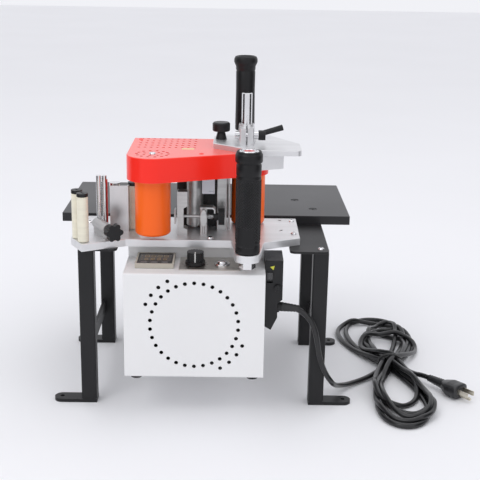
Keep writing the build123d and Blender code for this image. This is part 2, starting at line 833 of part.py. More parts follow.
# Push rod with the cutting blade on its left end and a black knob on its right end.
with BuildPart() as cutter_rod:
    with BuildSketch(Plane.YZ.offset(-37.0)):
        with Locations((rod_y, rod_z)):
            Circle(rod_radius)
    extrude(amount=55.0)
    with BuildSketch(Plane.YZ.offset(-39.0)):
        with BuildLine():
            Polyline(
                (rod_y + 8, 238),
                (rod_y + 8, 256),
                (rod_y - 4, 256),
                (rod_y - 7, 250),
                (rod_y - 7, 238),
                close=True,
            )
        make_face()
    extrude(amount=2.0)
save(cutter_rod, "cutter_rod")

with BuildPart() as cutter_knob:
    with BuildSketch(Plane.YZ.offset(11.5)):
        with Locations((rod_y, rod_z)):
            Circle(5.0)
            Circle(rod_radius, mode=Mode.SUBTRACT)
    extrude(amount=6.5)
    with BuildSketch(Plane.YZ.offset(18.0)):
        with Locations((rod_y, rod_z)):
            Circle(11.0)
            with PolarLocations(11.0, 24):
                Circle(0.7, mode=Mode.SUBTRACT)
    extrude(amount=8.0)
save(cutter_knob, "cutter_knob")

# Wing screw on the bracket's front: an oval wing with a long pin.
with BuildPart() as wing_screw:
    with BuildSketch(Plane.XZ.offset(-(rod_y - 6.0 - body_gap))):
        with Locations((-1.0, rod_z)):
            Ellipse(4.8, 11.5)
    extrude(amount=5.0)
    fillet(wing_screw.edges(), 1.0)
    with BuildSketch(Plane.XZ.offset(-(rod_y - 6.0 - body_gap))):
        with Locations((-1.0, rod_z)):
            Circle(1.5)
    extrude(amount=-2.4)
    with BuildSketch(Plane.XY.offset(rod_z - 22.0)):
        with Locations((-1.0, rod_y - 9.0)):
            Circle(1.4)
    extrude(amount=14.0)
save(wing_screw, "wing_screw")

# Limit switch case hanging from the housing floor.
with BuildPart() as limit_switch:
    with Locations((4.5, rod_y + 10.0, (276.0 + housing_bottom_z) / 2)):
        Box(16.5, 12.0, housing_bottom_z - 276.0)
    fillet(limit_switch.edges().filter_by(Axis.Z), 0.8)
    with BuildSketch(Plane.XZ.offset(-(rod_y + 4.0))):
        with Locations((8.5, 279.5)):
            Rectangle(7.0, 1.6)
    extrude(amount=-1.2, mode=Mode.SUBTRACT)
save(limit_switch, "limit_switch")

# ---------------------------------------------------------------- tape guides
# Three cream rollers, each turning on a pin with a slotted black cap.
roller_places = ((-161.0, -116.0), (-151.5, -133.5), (-94.0, -68.0))
roller_bottom_z = plate_top_z + 0.4
roller_height = 58.0
for number, (x, y) in enumerate(roller_places, start=1):
    with BuildPart() as tape_roller:
        with BuildSketch(Plane.XY.offset(roller_bottom_z)):
            with Locations((x, y)):
                Circle(7.0)
                Circle(2.5 + running_gap, mode=Mode.SUBTRACT)
        extrude(amount=roller_height)
        chamfer(tape_roller.edges().filter_by(GeomType.CIRCLE).group_by(SortBy.RADIUS)[-1], 0.5)
    save(tape_roller, "tape_roller_%d" % number)

cap_bottom_z = roller_bottom_z + roller_height + 0.4
with BuildPart() as roller_pins:
    with BuildSketch(Plane.XY.offset(plate_top_z)):
        with Locations((pressure_x, pressure_y)):
            Circle(7.0)
    extrude(amount=3.0)
    with BuildSketch(Plane.XY.offset(plate_top_z)):
        with Locations((pressure_x, pressure_y)):
            Circle(3.0)
    extrude(amount=housing_bottom_z - plate_top_z)
    for x, y in roller_places:
        with BuildSketch(Plane.XY.offset(plate_top_z)):
            with Locations((x, y)):
                Circle(2.5)
        extrude(amount=cap_bottom_z - plate_top_z)
        with BuildSketch(Plane.XY.offset(cap_bottom_z)):
            with Locations((x, y)):
                Circle(7.2)
        extrude(amount=4.2)
        with BuildSketch(Plane.XY.offset(cap_bottom_z + 4.2)):
            with Locations((x, y)):
                Rectangle(1.6, 8.0, rotation=35)
        extrude(amount=-1.2, mode=Mode.SUBTRACT)
save(roller_pins, "roller_pins")

# Polished plate that keeps the tape upright between the rollers.
with BuildPart() as tape_guide_plate:
    with BuildSketch(Plane.XY.offset(plate_top_z)):
        with BuildLine():
            Polyline(
                (-123, -84),
                (-101, -82),
                (-100, -76),
                (-98.2, -76),
                (-99.4, -83.9),
                (-123, -86),
                close=True,
            )
        make_face()
    extrude(amount=61.0)
save(tape_guide_plate, "tape_guide_plate")

# Two steel posts, a capped post behind the polished plate and a grooved height stop.
with BuildPart() as guide_posts:
    with BuildSketch(Plane.XY.offset(plate_top_z)):
        with Locations((-138.5, -76.0), (-131.2, -76.0)):
            Circle(3.3)
    extrude(amount=73.0)
    chamfer(guide_posts.faces().group_by(Axis.Z)[-1].edges(), 0.6)
    with BuildSketch(Plane.XY.offset(plate_top_z)):
        with Locations((-118.0, -70.0)):
            Circle(6.0)
    extrude(amount=58.0)
    with BuildSketch(Plane.XY.offset(plate_top_z + 58.0)):
        with Locations((-118.0, -70.0)):
            Circle(7.2)
    extrude(amount=4.5)
    with BuildSketch(Plane.XY.offset(plate_top_z)):
        with Locations((-123.0, -56.0)):
            Circle(2.4)
    extrude(amount=42.0)
    for step in range(9):
        with BuildSketch(Plane.XY.offset(plate_top_z + 1.0 + 4.6 * step)):
            with Locations((-123.0, -56.0)):
                Circle(3.4)
        extrude(amount=3.0)
save(guide_posts, "guide_posts")

# Clamp for the posts: a round-topped sleeve whose axis points to the front right, and its star knob.
clamp_axis_z = plate_top_z + 12.5
clamp_radius = 7.0
star_direction = Vector(0.5, -math.sqrt(0.75), 0)
clamp_start = Vector(-140.0, -88.0, clamp_axis_z)
clamp_plane = Plane(origin=clamp_start, x_dir=(math.sqrt(0.75), 0.5, 0), z_dir=star_direction)
clamp_length = 38.0
with BuildPart() as guide_clamp:
    with BuildSketch(clamp_plane):
        Circle(clamp_radius)
        with Locations((0, -(clamp_axis_z - plate_top_z) / 2)):
            Rectangle(clamp_radius * 1.4, clamp_axis_z - plate_top_z)
    extrude(amount=clamp_length)
    with BuildSketch(clamp_plane.offset(clamp_length)):
        Circle(2.5 + running_gap)
    extrude(amount=-12.0, mode=Mode.SUBTRACT)
save(guide_clamp, "guide_clamp")

star_start = clamp_length + 12.0
with BuildPart() as star_knob:
    with BuildSketch(clamp_plane.offset(star_start)):
        Circle(9.0)
        with PolarLocations(8.4, 6):
            Circle(3.4)
    extrude(amount=8.0)
    with BuildSketch(clamp_plane.offset(star_start)):
        Circle(5.0)
    extrude(amount=-6.0)
    with BuildSketch(clamp_plane.offset(star_start)):
        Circle(2.5)
    extrude(amount=-22.0)
save(star_knob, "star_knob")

# ---------------------------------------------------------------- upper guide
# Aluminium top plate on the housing, with a thick slanted block under its right end.
guide_top_z = guide_plate_z + guide_plate_thickness
with BuildPart() as top_guide_plate:
    with BuildSketch(Plane.XY.offset(housing_top_z)):
        with BuildLine():
            Polyline(
                (10, -22),
                (10, -74),
                (34, -92),
                (60, -118),
                (122, -118),
                (122, -70),
                (84, -10),
                (22, -10),
                close=True,
            )
        make_face()
    extrude(amount=guide_top_z - housing_top_z)
    fillet(top_guide_plate.edges().filter_by(Axis.Z).group_by(Axis.X)[-1], 8.0)
    fillet(top_guide_plate.edges().filter_by(Axis.Z).group_by(Axis.X)[0], 4.0)
    chamfer(top_guide_plate.faces().sort_by(Axis.Z)[-1].outer_wire().edges(), 0.8)
    with BuildSketch(Plane.XY.offset(housing_top_z)):
        with Locations((post_x, post_y)):
            Circle(post_radius + body_gap)
        with Locations((20.0, -45.0)):
            Circle(3.0)
    extrude(amount=guide_top_z - housing_top_z, mode=Mode.SUBTRACT)
    with BuildSketch(Plane.XY.offset(housing_top_z)):
        with BuildLine():
            Polyline(
                (70, -117),
                (100, -104),
                (100, -50),
                (housing_right_x + 1.0, -50),
                (housing_right_x + 1.0, -86),
                (72, -103),
                close=True,
            )
        make_face()
    extrude(amount=-19.0)
save(top_guide_plate, "top_guide_plate")

# Height post: a bright steel bar that slides in the split clamp.
with BuildPart() as height_post:
    with BuildSketch(Plane.XY.offset(housing_top_z + 1.0)):
        with Locations((post_x, post_y)):
            Circle(post_radius)
    extrude(amount=70.0)
    chamfer(height_post.faces().sort_by(Axis.Z)[-1].edges(), 1.0)
save(height_post, "height_post")

# Split clamp: a tapered collar with two ears drawn together by the clamp bolt.
clamp_height = 24.0
ear_y = post_y - 17.0
bolt_z = guide_top_z + 12.0
with BuildPart() as post_clamp:
    with BuildSketch(Plane.XY.offset(guide_top_z)):
        with Locations((post_x, post_y)):
            Circle(12.0)
    extrude(amount=clamp_height, taper=5)
    with BuildSketch(Plane.XY.offset(guide_top_z)):
        with Locations((post_x, ear_y + 3.0)):
            RectangleRounded(18.0, 16.0, 2.0)
    extrude(amount=clamp_height - 3.0)
    with BuildSketch(Plane.XY.offset(guide_top_z)):
        with Locations((post_x, post_y)):
            Circle(post_radius + running_gap)
        with Locations((post_x, ear_y)):
            Rectangle(2.0, 30.0)
    extrude(amount=clamp_height, mode=Mode.SUBTRACT)
    with BuildSketch(Plane.YZ.offset(post_x - 20.0)):
        with Locations((ear_y, bolt_z)):
            Circle(3.0 + running_gap)
    extrude(amount=40.0, mode=Mode.SUBTRACT)
save(post_clamp, "post_clamp")

lever_hub_x = post_x + 9.0 + body_gap

# Clamp bolt with a round socket head on the left; the lever is screwed on its right end.
with BuildPart() as clamp_bolt:
    with BuildSketch(Plane.YZ.offset(post_x - 9.0 - body_gap)):
        with Locations((ear_y, bolt_z)):
            Circle(5.0)
    extrude(amount=-6.0)
    with BuildSketch(Plane.YZ.offset(post_x - 15.0 - body_gap)):
        with Locations((ear_y, bolt_z)):
            RegularPolygon(2.8, 6)
    extrude(amount=3.0, mode=Mode.SUBTRACT)
    with BuildSketch(Plane.YZ.offset(post_x - 9.0 - body_gap)):
        with Locations((ear_y, bolt_z)):
            Circle(3.0)
    extrude(amount=24.0)
    with BuildSketch(Plane.YZ.offset(lever_hub_x)):
        with Locations((ear_y, bolt_z)):
            Circle(5.2)
    extrude(amount=5.6)
save(clamp_bolt, "clamp_bolt")

# Clamp lever: a black hub on the bolt's collar with an arm that leans outwards.
lever_tilt = math.radians(17.0)
lever_plane = Plane(
    origin=(lever_hub_x + 12.0, ear_y, bolt_z + 3.0),
    x_dir=(0, 1, 0),
    z_dir=(math.cos(lever_tilt), 0, math.sin(lever_tilt)),
)
with BuildPart() as clamp_lever:
    with BuildSketch(Plane.YZ.offset(lever_hub_x + 5.6)):
        with Locations((ear_y, bolt_z)):
            Circle(6.4)
            Circle(3.0, mode=Mode.SUBTRACT)
    extrude(amount=9.0)
    with BuildSketch(lever_plane):
        Circle(3.4)
    extrude(amount=26.0, taper=-1.0)
    fillet(clamp_lever.faces().sort_by(Axis.X)[-1].edges(), 1.0)
save(clamp_lever, "clamp_lever")

# Black knob of the upper guide on a short neck, with a stud in the top plate.
with BuildPart() as top_knob:
    with BuildSketch(Plane.XZ.offset(45.0)):
        with BuildLine():
            Polyline(
                (20.0, guide_top_z - 5.0),
                (20.0 + 3.0 - running_gap, guide_top_z - 5.0),
                (20.0 + 3.0 - running_gap, guide_top_z + body_gap),
                (27.5, guide_top_z + body_gap),
                (25.0, guide_top_z + 10.0),
                (30.5, guide_top_z + 11.0),
                (31.5, guide_top_z + 12.0),
                (31.5, guide_top_z + 21.0),
                (30.0, guide_top_z + 22.5),
                (20.0, guide_top_z + 22.5),
                close=True,
            )
        make_face()
    revolve(axis=Axis((20.0, -45.0, 0), (0, 0, 1)))
save(top_knob, "top_knob")

rear_grip_bottom = guide_top_z + 10.0
# Grip bolts: a hexagon bolt up through the tongue, and a bright pipe and stud on the top plate.
with BuildPart() as grip_bolts:
    with BuildSketch(Plane.XY.offset(strip_top_z)):
        with Locations((grip_x, grip_y)):
            RegularPolygon(10.4, 6)
    extrude(amount=-9.5)
    with BuildSketch(Plane.XY.offset(strip_top_z)):
        with Locations((grip_x, grip_y)):
            Circle(5.0)
    extrude(amount=130.0)
    with BuildSketch(Plane.XY.offset(guide_top_z)):
        with Locations((rear_grip_x, rear_grip_y)):
            Circle(8.0)
    extrude(amount=10.0)
    with BuildSketch(Plane.XY.offset(rear_grip_bottom)):
        with Locations((rear_grip_x, rear_grip_y)):
            Circle(6.0)
    extrude(amount=80.0)
save(grip_bolts, "grip_bolts")

# Rear grip: a smooth black sleeve with a mushroom cap on a short bright pipe.

with BuildPart() as rear_grip:
    with BuildSketch(Plane.XZ.offset(-rear_grip_y)):
        with BuildLine():
            Polyline(
                (rear_grip_x + 6.0, rear_grip_bottom),
                (rear_grip_x + 12.6, rear_grip_bottom),
                (rear_grip_x + 13.2, rear_grip_bottom + 82),
                (rear_grip_x + 15.2, rear_grip_bottom + 84),
                (rear_grip_x + 15.4, rear_grip_bottom + 93),
            )
            ThreePointArc(
                (rear_grip_x + 15.4, rear_grip_bottom + 93),
                (rear_grip_x + 12.5, rear_grip_bottom + 96),
                (rear_grip_x + 8.0, rear_grip_bottom + 97),
            )
            Polyline(
                (rear_grip_x + 8.0, rear_grip_bottom + 97),
                (rear_grip_x, rear_grip_bottom + 97),
                (rear_grip_x, rear_grip_bottom + 80),
                (rear_grip_x + 6.0, rear_grip_bottom + 80),
                (rear_grip_x + 6.0, rear_grip_bottom),
            )
        make_face()
    revolve(axis=Axis((rear_grip_x, rear_grip_y, 0), (0, 0, 1)))
save(rear_grip, "rear_grip")

# Screws: countersunk ones in the table, button heads on the strips, the base plate and the gear cover.
def button_head(x, y, z, radius):
    """Outline of a button head with a shallow drive recess, to be turned about its own axis."""
    Line((x, z), (x + radius, z))
    ThreePointArc(
        (x + radius, z),
        (x + 0.78 * radius, z + 0.36 * radius),
        (x + 0.4 * radius, z + 0.52 * radius),
    )
    Polyline(
        (x + 0.4 * radius, z + 0.52 * radius),
        (x + 0.4 * radius, z + 0.22 * radius),
        (x, z + 0.22 * radius),
        (x, z),
    )


table_screw_tip_z = 205.0
table_screw_top_z = strip_top_z + table_thickness - 0.4
button_heads = [(117.0, y, plate_top_z, 4.5) for y in (-22.0, -84.0)]
button_heads += [(-156.0, -40.0, plate_top_z, 4.5), (8.0, -110.0, plate_top_z, 4.5)]
button_heads += [(leg_x, leg_front_y, strip_top_z, 5.5)]
button_heads += [(x, y, housing_top_z, 3.6) for x, y in ((motor_x, motor_y), (-88.0, -16.0), (-4.0, -110.0))]
with BuildPart() as machine_screws:
    for x, y in table_holes:
        with BuildSketch(Plane.XZ.offset(-y)):
            with BuildLine():
                Polyline(
                    (x, table_screw_tip_z),
                    (x + 3.0, table_screw_tip_z),
                    (x + 3.0, table_screw_top_z - 2.7),
                    (x + 5.7, table_screw_top_z),
                    (x, table_screw_top_z),
                    close=True,
                )
            make_face()
        revolve(axis=Axis((x, y, 0), (0, 0, 1)))
    for x, y, z, radius in button_heads:
        with BuildSketch(Plane.XZ.offset(-y)):
            with BuildLine():
                button_head(x, y, z, radius)
            make_face()
        revolve(axis=Axis((x, y, 0), (0, 0, 1)))
save(machine_screws, "machine_screws")

# ---------------------------------------------------------------- mains cord
def cord_tube(route):
    """Tube along straight runs joined by the largest tangent arcs that the runs allow."""
    points = [Vector(*point) for point in route]
    radii = []
    for i in range(1, len(points) - 1):
        run_in = points[i] - points[i - 1]
        run_out = points[i + 1] - points[i]
        turn = math.radians(run_in.get_angle(run_out))
        shorter = min(run_in.length, run_out.length)
        radii.append(min(0.45 * shorter / math.tan(turn / 2), 400.0))
    path = Wire(FilletPolyline(*points, radius=radii).edges())
    section = Plane(origin=path @ 0, z_dir=path % 0) * Circle(cord_radius)
    return sweep(section, path=path)


lead_route = [
    (gland_end_x, gland_y, gland_z),
    (112.0, gland_y, gland_z),
    (125.0, -140.0, 136.5),
    (136.0, -143.0, 128.0),
    (143.5, -146.0, 115.5),
    (147.5, -148.0, 98.0),
    (151.0, -149.5, 76.0),
    (158.5, -149.0, 55.0),
    (168.5, -140.5, 38.0),
    (174.5, -122.0, 25.5),
    (182.0, -101.0, 15.0),
    (195.0, -82.0, 7.5),
    (210.0, -67.0, 5.0),
    (226.0, -54.0, 5.0),
    (240.0, -40.0, 6.0),
    (253.0, -26.0, 9.0),
]
plug_x = 329.0
plug_y = -83.0
plug_z = 11.0
plug_heading = math.radians(-52.0)
tail_length = 26.0
tail_x = plug_x - tail_length * math.cos(plug_heading)
tail_y = plug_y - tail_length * math.sin(plug_heading)
tail_route = [
    (279.0, -14.0, 9.0),
    (287.0, -25.0, 7.0),
    (296.0, -39.0, 6.5),
    (tail_x - 10.0 * math.cos(plug_heading), tail_y - 10.0 * math.sin(plug_heading), plug_z),
    (tail_x, tail_y, plug_z),
]
lead_tube = cord_tube(lead_route)
tail_tube = cord_tube(tail_route)
with BuildPart() as power_cord:
    add(lead_tube)
save(power_cord, "power_cord")

with BuildPart() as power_cord_tail:
    add(tail_tube)
save(power_cord_tail, "power_cord_tail")

# Loose tied hank of the cord: two open lobes of turns that meet at the tie.
hank_height = 22.0
turns_width = 24.0
hank_lobes = [(268.0, 96.0, 52.0, 96.0), (264.0, -120.0, 38.0, 84.0)]
tie_x = 266.0
tie_y = -14.0
with BuildPart() as cord_hank:
    with BuildSketch(Plane.XY):
        for x, y, half_width, half_length in hank_lobes:
            with Locations((x, y)):
                Ellipse(half_width, half_length)
                Ellipse(half_width - turns_width, half_length - turns_width, mode=Mode.SUBTRACT)
        with Locations((tie_x, tie_y)):
            Rectangle(26.0, 60.0)
    extrude(amount=hank_height)
save(cord_hank, "cord_hank")

# Plug: strain relief, moulded body and three pins.
plug_direction = (math.cos(plug_heading), math.sin(plug_heading), 0)
plug_side = (math.sin(plug_heading), -math.cos(plug_heading), 0)
plug_plane = Plane(origin=(plug_x, plug_y, plug_z), x_dir=plug_side, z_dir=plug_direction)
plug_waist = 13.0
plug_grip_length = 18.0
pin_length = 17.0
with BuildPart() as power_plug:
    with BuildSketch(plug_plane.offset(-tail_length)):
        Circle(4.6)
    with BuildSketch(plug_plane):
        Circle(6.4)
    loft()
    with BuildSketch(plug_plane):
        RectangleRounded(20.0, 15.0, 6.0)
    with BuildSketch(plug_plane.offset(plug_waist)):
        RectangleRounded(27.0, 20.0, 8.0)
    loft()
    with BuildSketch(plug_plane.offset(plug_waist)):
        RectangleRounded(27.0, 20.0, 8.0)
    extrude(amount=plug_grip_length)
    with BuildSketch(plug_plane.offset(plug_waist + plug_grip_length)):
        with Locations((-6.3, 1.5), (6.3, 1.5)):
            Rectangle(1.5, 6.3)
        with Locations((0, -5.6)):
            Circle(2.4)
    extrude(amount=pin_length)
save(power_plug, "power_plug")
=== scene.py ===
import bpy
import bmesh
import math
from mathutils import Euler, Matrix, Vector


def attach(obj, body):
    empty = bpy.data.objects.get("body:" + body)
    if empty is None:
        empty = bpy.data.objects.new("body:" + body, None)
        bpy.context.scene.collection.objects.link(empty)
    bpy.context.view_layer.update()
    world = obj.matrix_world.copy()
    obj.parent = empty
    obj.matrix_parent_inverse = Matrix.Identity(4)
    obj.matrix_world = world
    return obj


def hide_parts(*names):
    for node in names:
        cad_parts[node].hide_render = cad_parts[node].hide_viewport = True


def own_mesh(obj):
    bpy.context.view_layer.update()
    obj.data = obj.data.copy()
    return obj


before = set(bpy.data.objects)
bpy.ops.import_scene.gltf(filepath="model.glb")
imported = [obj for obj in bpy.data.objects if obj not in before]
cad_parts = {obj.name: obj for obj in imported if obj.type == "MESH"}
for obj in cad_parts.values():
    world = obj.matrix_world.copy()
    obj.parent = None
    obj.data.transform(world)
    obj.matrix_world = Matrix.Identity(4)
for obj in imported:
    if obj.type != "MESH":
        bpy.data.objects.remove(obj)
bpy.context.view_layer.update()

scene = bpy.context.scene

# ---- Camera and studio
# The machine stands on a pale seamless floor under two large soft lights and an even white surround.
# The camera stands in front of the control box, a little to the right, and looks down about 16 degrees.
camera_data = bpy.data.cameras.new("camera")
camera_data.lens = 74.9
camera_data.sensor_width = 36.0
camera_data.clip_end = 50.0
camera = bpy.data.objects.new("camera", camera_data)
scene.collection.objects.link(camera)
camera.location = (0.0339, -1.3444, 0.5805)
camera.rotation_euler = Euler(
    (math.radians(90.0 - 16.24), math.radians(0.0), math.radians(-0.576)), "XYZ"
)
camera.matrix_world = (
    Matrix.Translation(camera.location)
    @ camera.rotation_euler.to_matrix().to_4x4()
    @ Matrix.Rotation(math.radians(0.96), 4, "Z")
)
scene.camera = camera


def soft_light(name, place, target, size, power):
    """Add a square area light at place, aimed at target."""
    light_data = bpy.data.lights.new(name, "AREA")
    light_data.size = size
    light_data.energy = power
    light = bpy.data.objects.new(name, light_data)
    scene.collection.objects.link(light)
    light.location = place
    light.rotation_euler = (Vector(target) - Vector(place)).to_track_quat("-Z", "Y").to_euler()


soft_light("key_light", (-1.1, -1.3, 1.9), (0.0, 0.0, 0.2), 1.1, 8.0)
soft_light("fill_light", (1.5, -1.0, 1.5), (0.0, 0.0, 0.2), 1.2, 2.5)
soft_light("top_light", (0.1, 0.5, 2.3), (0.0, 0.0, 0.2), 1.4, 4.5)

world = bpy.data.worlds.new("studio")
scene.world = world
world.use_nodes = True
world.node_tree.nodes["Background"].inputs["Color"].default_value = (0.93, 0.935, 0.975, 1.0)
world.node_tree.nodes["Background"].inputs["Strength"].default_value = 0.95
scene.view_settings.view_transform = "Standard"


# ---- Floor
# Pale matt backdrop paper, laid flat and run far behind the machine so that no edge shows.
def surface(name, color, roughness, metallic=0.0, tone=0.04, tone_scale=18.0, bump=0.1, bump_scale=900.0,
            stretch=(1.0, 1.0, 1.0), coat=0.0, bump_distance=0.0002, rough_spread=0.06, shine=0.5):
    """Make a procedural material with a colour variation, a roughness variation and a fine bump."""
    material = bpy.data.materials.new(name)
    material.use_nodes = True
    nodes = material.node_tree.nodes
    links = material.node_tree.links
    shader = nodes["Principled BSDF"]
    shader.inputs["Metallic"].default_value = metallic
    shader.inputs["Coat Weight"].default_value = coat
    shader.inputs["Specular IOR Level"].default_value = shine
    shader.inputs["Coat Roughness"].default_value = 0.12
    place = nodes.new("ShaderNodeTexCoord")
    mapping = nodes.new("ShaderNodeMapping")
    mapping.inputs["Scale"].default_value = stretch
    links.new(place.outputs["Object"], mapping.inputs["Vector"])

    slow = nodes.new("ShaderNodeTexNoise")
    slow.inputs["Scale"].default_value = tone_scale
    slow.inputs["Detail"].default_value = 4.0
    links.new(mapping.outputs["Vector"], slow.inputs["Vector"])
    ramp = nodes.new("ShaderNodeValToRGB")
    ramp.color_ramp.elements[0].position = 0.3
    ramp.color_ramp.elements[1].position = 0.7
    ramp.color_ramp.elements[0].color = [max(0.0, c * (1.0 - tone)) for c in color] + [1.0]
    ramp.color_ramp.elements[1].color = [min(1.0, c * (1.0 + tone)) for c in color] + [1.0]
    links.new(slow.outputs["Fac"], ramp.inputs["Fac"])
    links.new(ramp.outputs["Color"], shader.inputs["Base Color"])

    spread = nodes.new("ShaderNodeMapRange")
    spread.inputs["To Min"].default_value = max(0.02, roughness - rough_spread)
    spread.inputs["To Max"].default_value = min(1.0, roughness + rough_spread)
    links.new(slow.outputs["Fac"], spread.inputs["Value"])
    links.new(spread.outputs["Result"], shader.inputs["Roughness"])

    fine = nodes.new("ShaderNodeTexNoise")
    fine.inputs["Scale"].default_value = bump_scale
    fine.inputs["Detail"].default_value = 3.0
    links.new(mapping.outputs["Vector"], fine.inputs["Vector"])
    bumper = nodes.new("ShaderNodeBump")
    bumper.inputs["Strength"].default_value = bump
    bumper.inputs["Distance"].default_value = bump_distance
    links.new(fine.outputs["Fac"], bumper.inputs["Height"])
    links.new(bumper.outputs["Normal"], shader.inputs["Normal"])
    return material


def link_mesh(name, mesh, material, smooth=True):
    """Link a finished mesh as a piece at the origin, with a material."""
    mesh.materials.clear()
    mesh.materials.append(material)
    for polygon in mesh.polygons:
        polygon.use_smooth = smooth
    piece = bpy.data.objects.new(name, mesh)
    scene.collection.objects.link(piece)
    return piece


floor_mesh = bpy.data.meshes.new("floor")
floor_mesh.from_pydata([(-6, -4, 0), (6, -4, 0), (6, 9, 0), (-6, 9, 0)], [], [(0, 1, 2, 3)])
studio_floor = link_mesh(
    "studio_floor", floor_mesh,
    surface("floor_paper", (0.88, 0.88, 0.895), 0.9, tone=0.01, tone_scale=1.5, bump=0.02), smooth=False,
)

# Two tall black cards stand out of view on either side. Only reflections see them, so that polished
# metal keeps dark edges.
card_paper = surface("card_paper", (0.01, 0.01, 0.01), 0.9, tone=0.1, bump=0.02)
card_front, card_back, card_height = -0.75, 0.15, 1.1
for card_name, card_x in (("left_card", -0.95), ("right_card", 1.05)):
    card_mesh = bpy.data.meshes.new(card_name)
    card_corners = [
        (card_x, card_front, 0.0), (card_x, card_back, 0.0),
        (card_x, card_back, card_height), (card_x, card_front, card_height),
    ]
    card_mesh.from_pydata(card_corners, [], [(0, 1, 2, 3)])
    card = link_mesh(card_name, card_mesh, card_paper, smooth=False)
    card.visible_camera = False
    card.visible_diffuse = False
    card.visible_shadow = False

# ---- Mains cord
# A 7 mm round PVC cord from the gland on the power module down past the front leg to a loose hank,
# tied once in the middle, and on to the plug. The turns are thrown by hand, so they differ in size
# and lie over each other. The black sheath is glossy and slightly waxy.
cord_diameter = 0.007
gland_exit = (0.100, -0.138, 0.141)
lead_points = [
    gland_exit,
    (0.112, -0.138, 0.141),
    (0.125, -0.140, 0.1365),
    (0.136, -0.143, 0.128),
    (0.1435, -0.146, 0.1155),
    (0.1475, -0.148, 0.098),
    (0.151, -0.1495, 0.076),
    (0.1585, -0.149, 0.055),
    (0.1685, -0.1405, 0.038),
    (0.1745, -0.122, 0.0255),
    (0.182, -0.101, 0.015),
    (0.195, -0.082, 0.0075),
    (0.210, -0.067, 0.005),
    (0.226, -0.054, 0.005),
    (0.240, -0.040, 0.006),
    (0.253, -0.026, 0.009),
]
plug_heading = math.radians(-52.0)
plug_face = Vector((0.329, -0.083, 0.011))
plug_along = Vector((math.cos(plug_heading), math.sin(plug_heading), 0.0))
strain_length = 0.026
tail_end = plug_face - plug_along * strain_length
tail_points = [
    (0.279, -0.014, 0.009),
    (0.287, -0.025, 0.007),
    (0.296, -0.039, 0.0065),
    tuple(tail_end - plug_along * 0.010),
    tuple(tail_end),
]
tie_place = Vector((0.266, -0.014, 0.0))


def hank_lobe(sideways, reach, width, lean, start_offset, end_offset, steps=18):
    """Points of one loop from the tie out to its tip and back, as (x, y) offsets from the tie."""
    points = []
    for step in range(1, steps):
        share = step / steps
        turn = math.pi * share
        x = start_offset * (1.0 - share) + end_offset * share
        x += width * math.cos(turn) * math.sin(turn) ** 0.85 + lean * math.sin(turn) ** 2
        points.append((x, sideways * reach * math.sin(turn)))
    return points


hank_loops = [
    (1, 0.196, 0.088, 0.004),
    (-1, 0.184, 0.066, -0.004),
    (1, 0.150, 0.070, 0.013),
    (-1, 0.150, 0.052, 0.012),
    (1, 0.180, 0.098, -0.012),
    (-1, 0.172, 0.074, 0.004),
    (1, 0.128, 0.060, -0.008),
    (-1, 0.128, 0.046, -0.010),
    (1, 0.168, 0.044, 0.022),
    (-1, 0.160, 0.060, 0.010),
    (1, 0.112, 0.082, 0.004),
]
hank_flat = []
for number, (sideways, reach, width, lean) in enumerate(hank_loops):
    start_offset = -0.009 + 0.0062 * (number % 4)
    end_offset = -0.009 + 0.0062 * ((number + 1) % 4)
    hank_flat.append((start_offset, 0.0))
    hank_flat += hank_lobe(sideways, reach, width, lean, start_offset, end_offset)
hank_flat.append((0.008, 0.002))

# The turns settle on the floor or on the turns already laid, and rise no faster than the cord can bend.
laid = [Vector(point) for point in lead_points]
hank_points = [Vector((tie_place.x + x, tie_place.y + y, cord_diameter / 2 + 0.0003)) for x, y in hank_flat]
route = laid + hank_points
first_hank = len(laid)
touching = cord_diameter * 0.98
highest_turn = 0.0245
steepest = 0.30
for i in range(first_hank, len(route)):
    for j in range(0, i - 5):
        for part in (0.0, 0.5):
            other = route[j].lerp(route[min(j + 1, i)], part)
            apart = math.hypot(route[i].x - other.x, route[i].y - other.y)
            if apart < touching:
                lift = math.sqrt(touching ** 2 - apart ** 2)
                route[i].z = max(route[i].z, other.z + lift)
    route[i].z = min(route[i].z, highest_turn)
for _ in range(3):
    for i in range(first_hank, len(route) - 1):
        step = (route[i + 1].xy - route[i].xy).length
        fall = steepest * step
        route[i].z = max(route[i].z, route[i + 1].z - fall, route[i - 1].z - fall)
route += [Vector(point) for point in tail_points]


def spline_curve(name, points, radius, material, resolution=10):
    """A smooth round cord along control points."""
    curve = bpy.data.curves.new(name, "CURVE")
    curve.dimensions = "3D"
    curve.bevel_depth = radius
    curve.bevel_resolution = 5
    curve.resolution_u = resolution
    spline = curve.splines.new("NURBS")
    spline.points.add(len(points) - 1)
    for target, point in zip(spline.points, points):
        target.co = (*point, 1.0)
    spline.order_u = 3
    spline.use_endpoint_u = True
    curve.materials.append(material)
    piece = bpy.data.objects.new(name, curve)
    scene.collection.objects.link(piece)
    return piece


cord_sheath = surface("cord_sheath", (0.010, 0.010, 0.011), 0.30, shine=0.4, tone=0.25, tone_scale=60.0,
                      bump=0.12, bump_scale=260.0, coat=0.25)
mains_cord = spline_curve("mains_cord", route, cord_diameter / 2, cord_sheath)
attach(mains_cord, "frame")
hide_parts("power_cord", "power_cord_tail", "cord_hank")

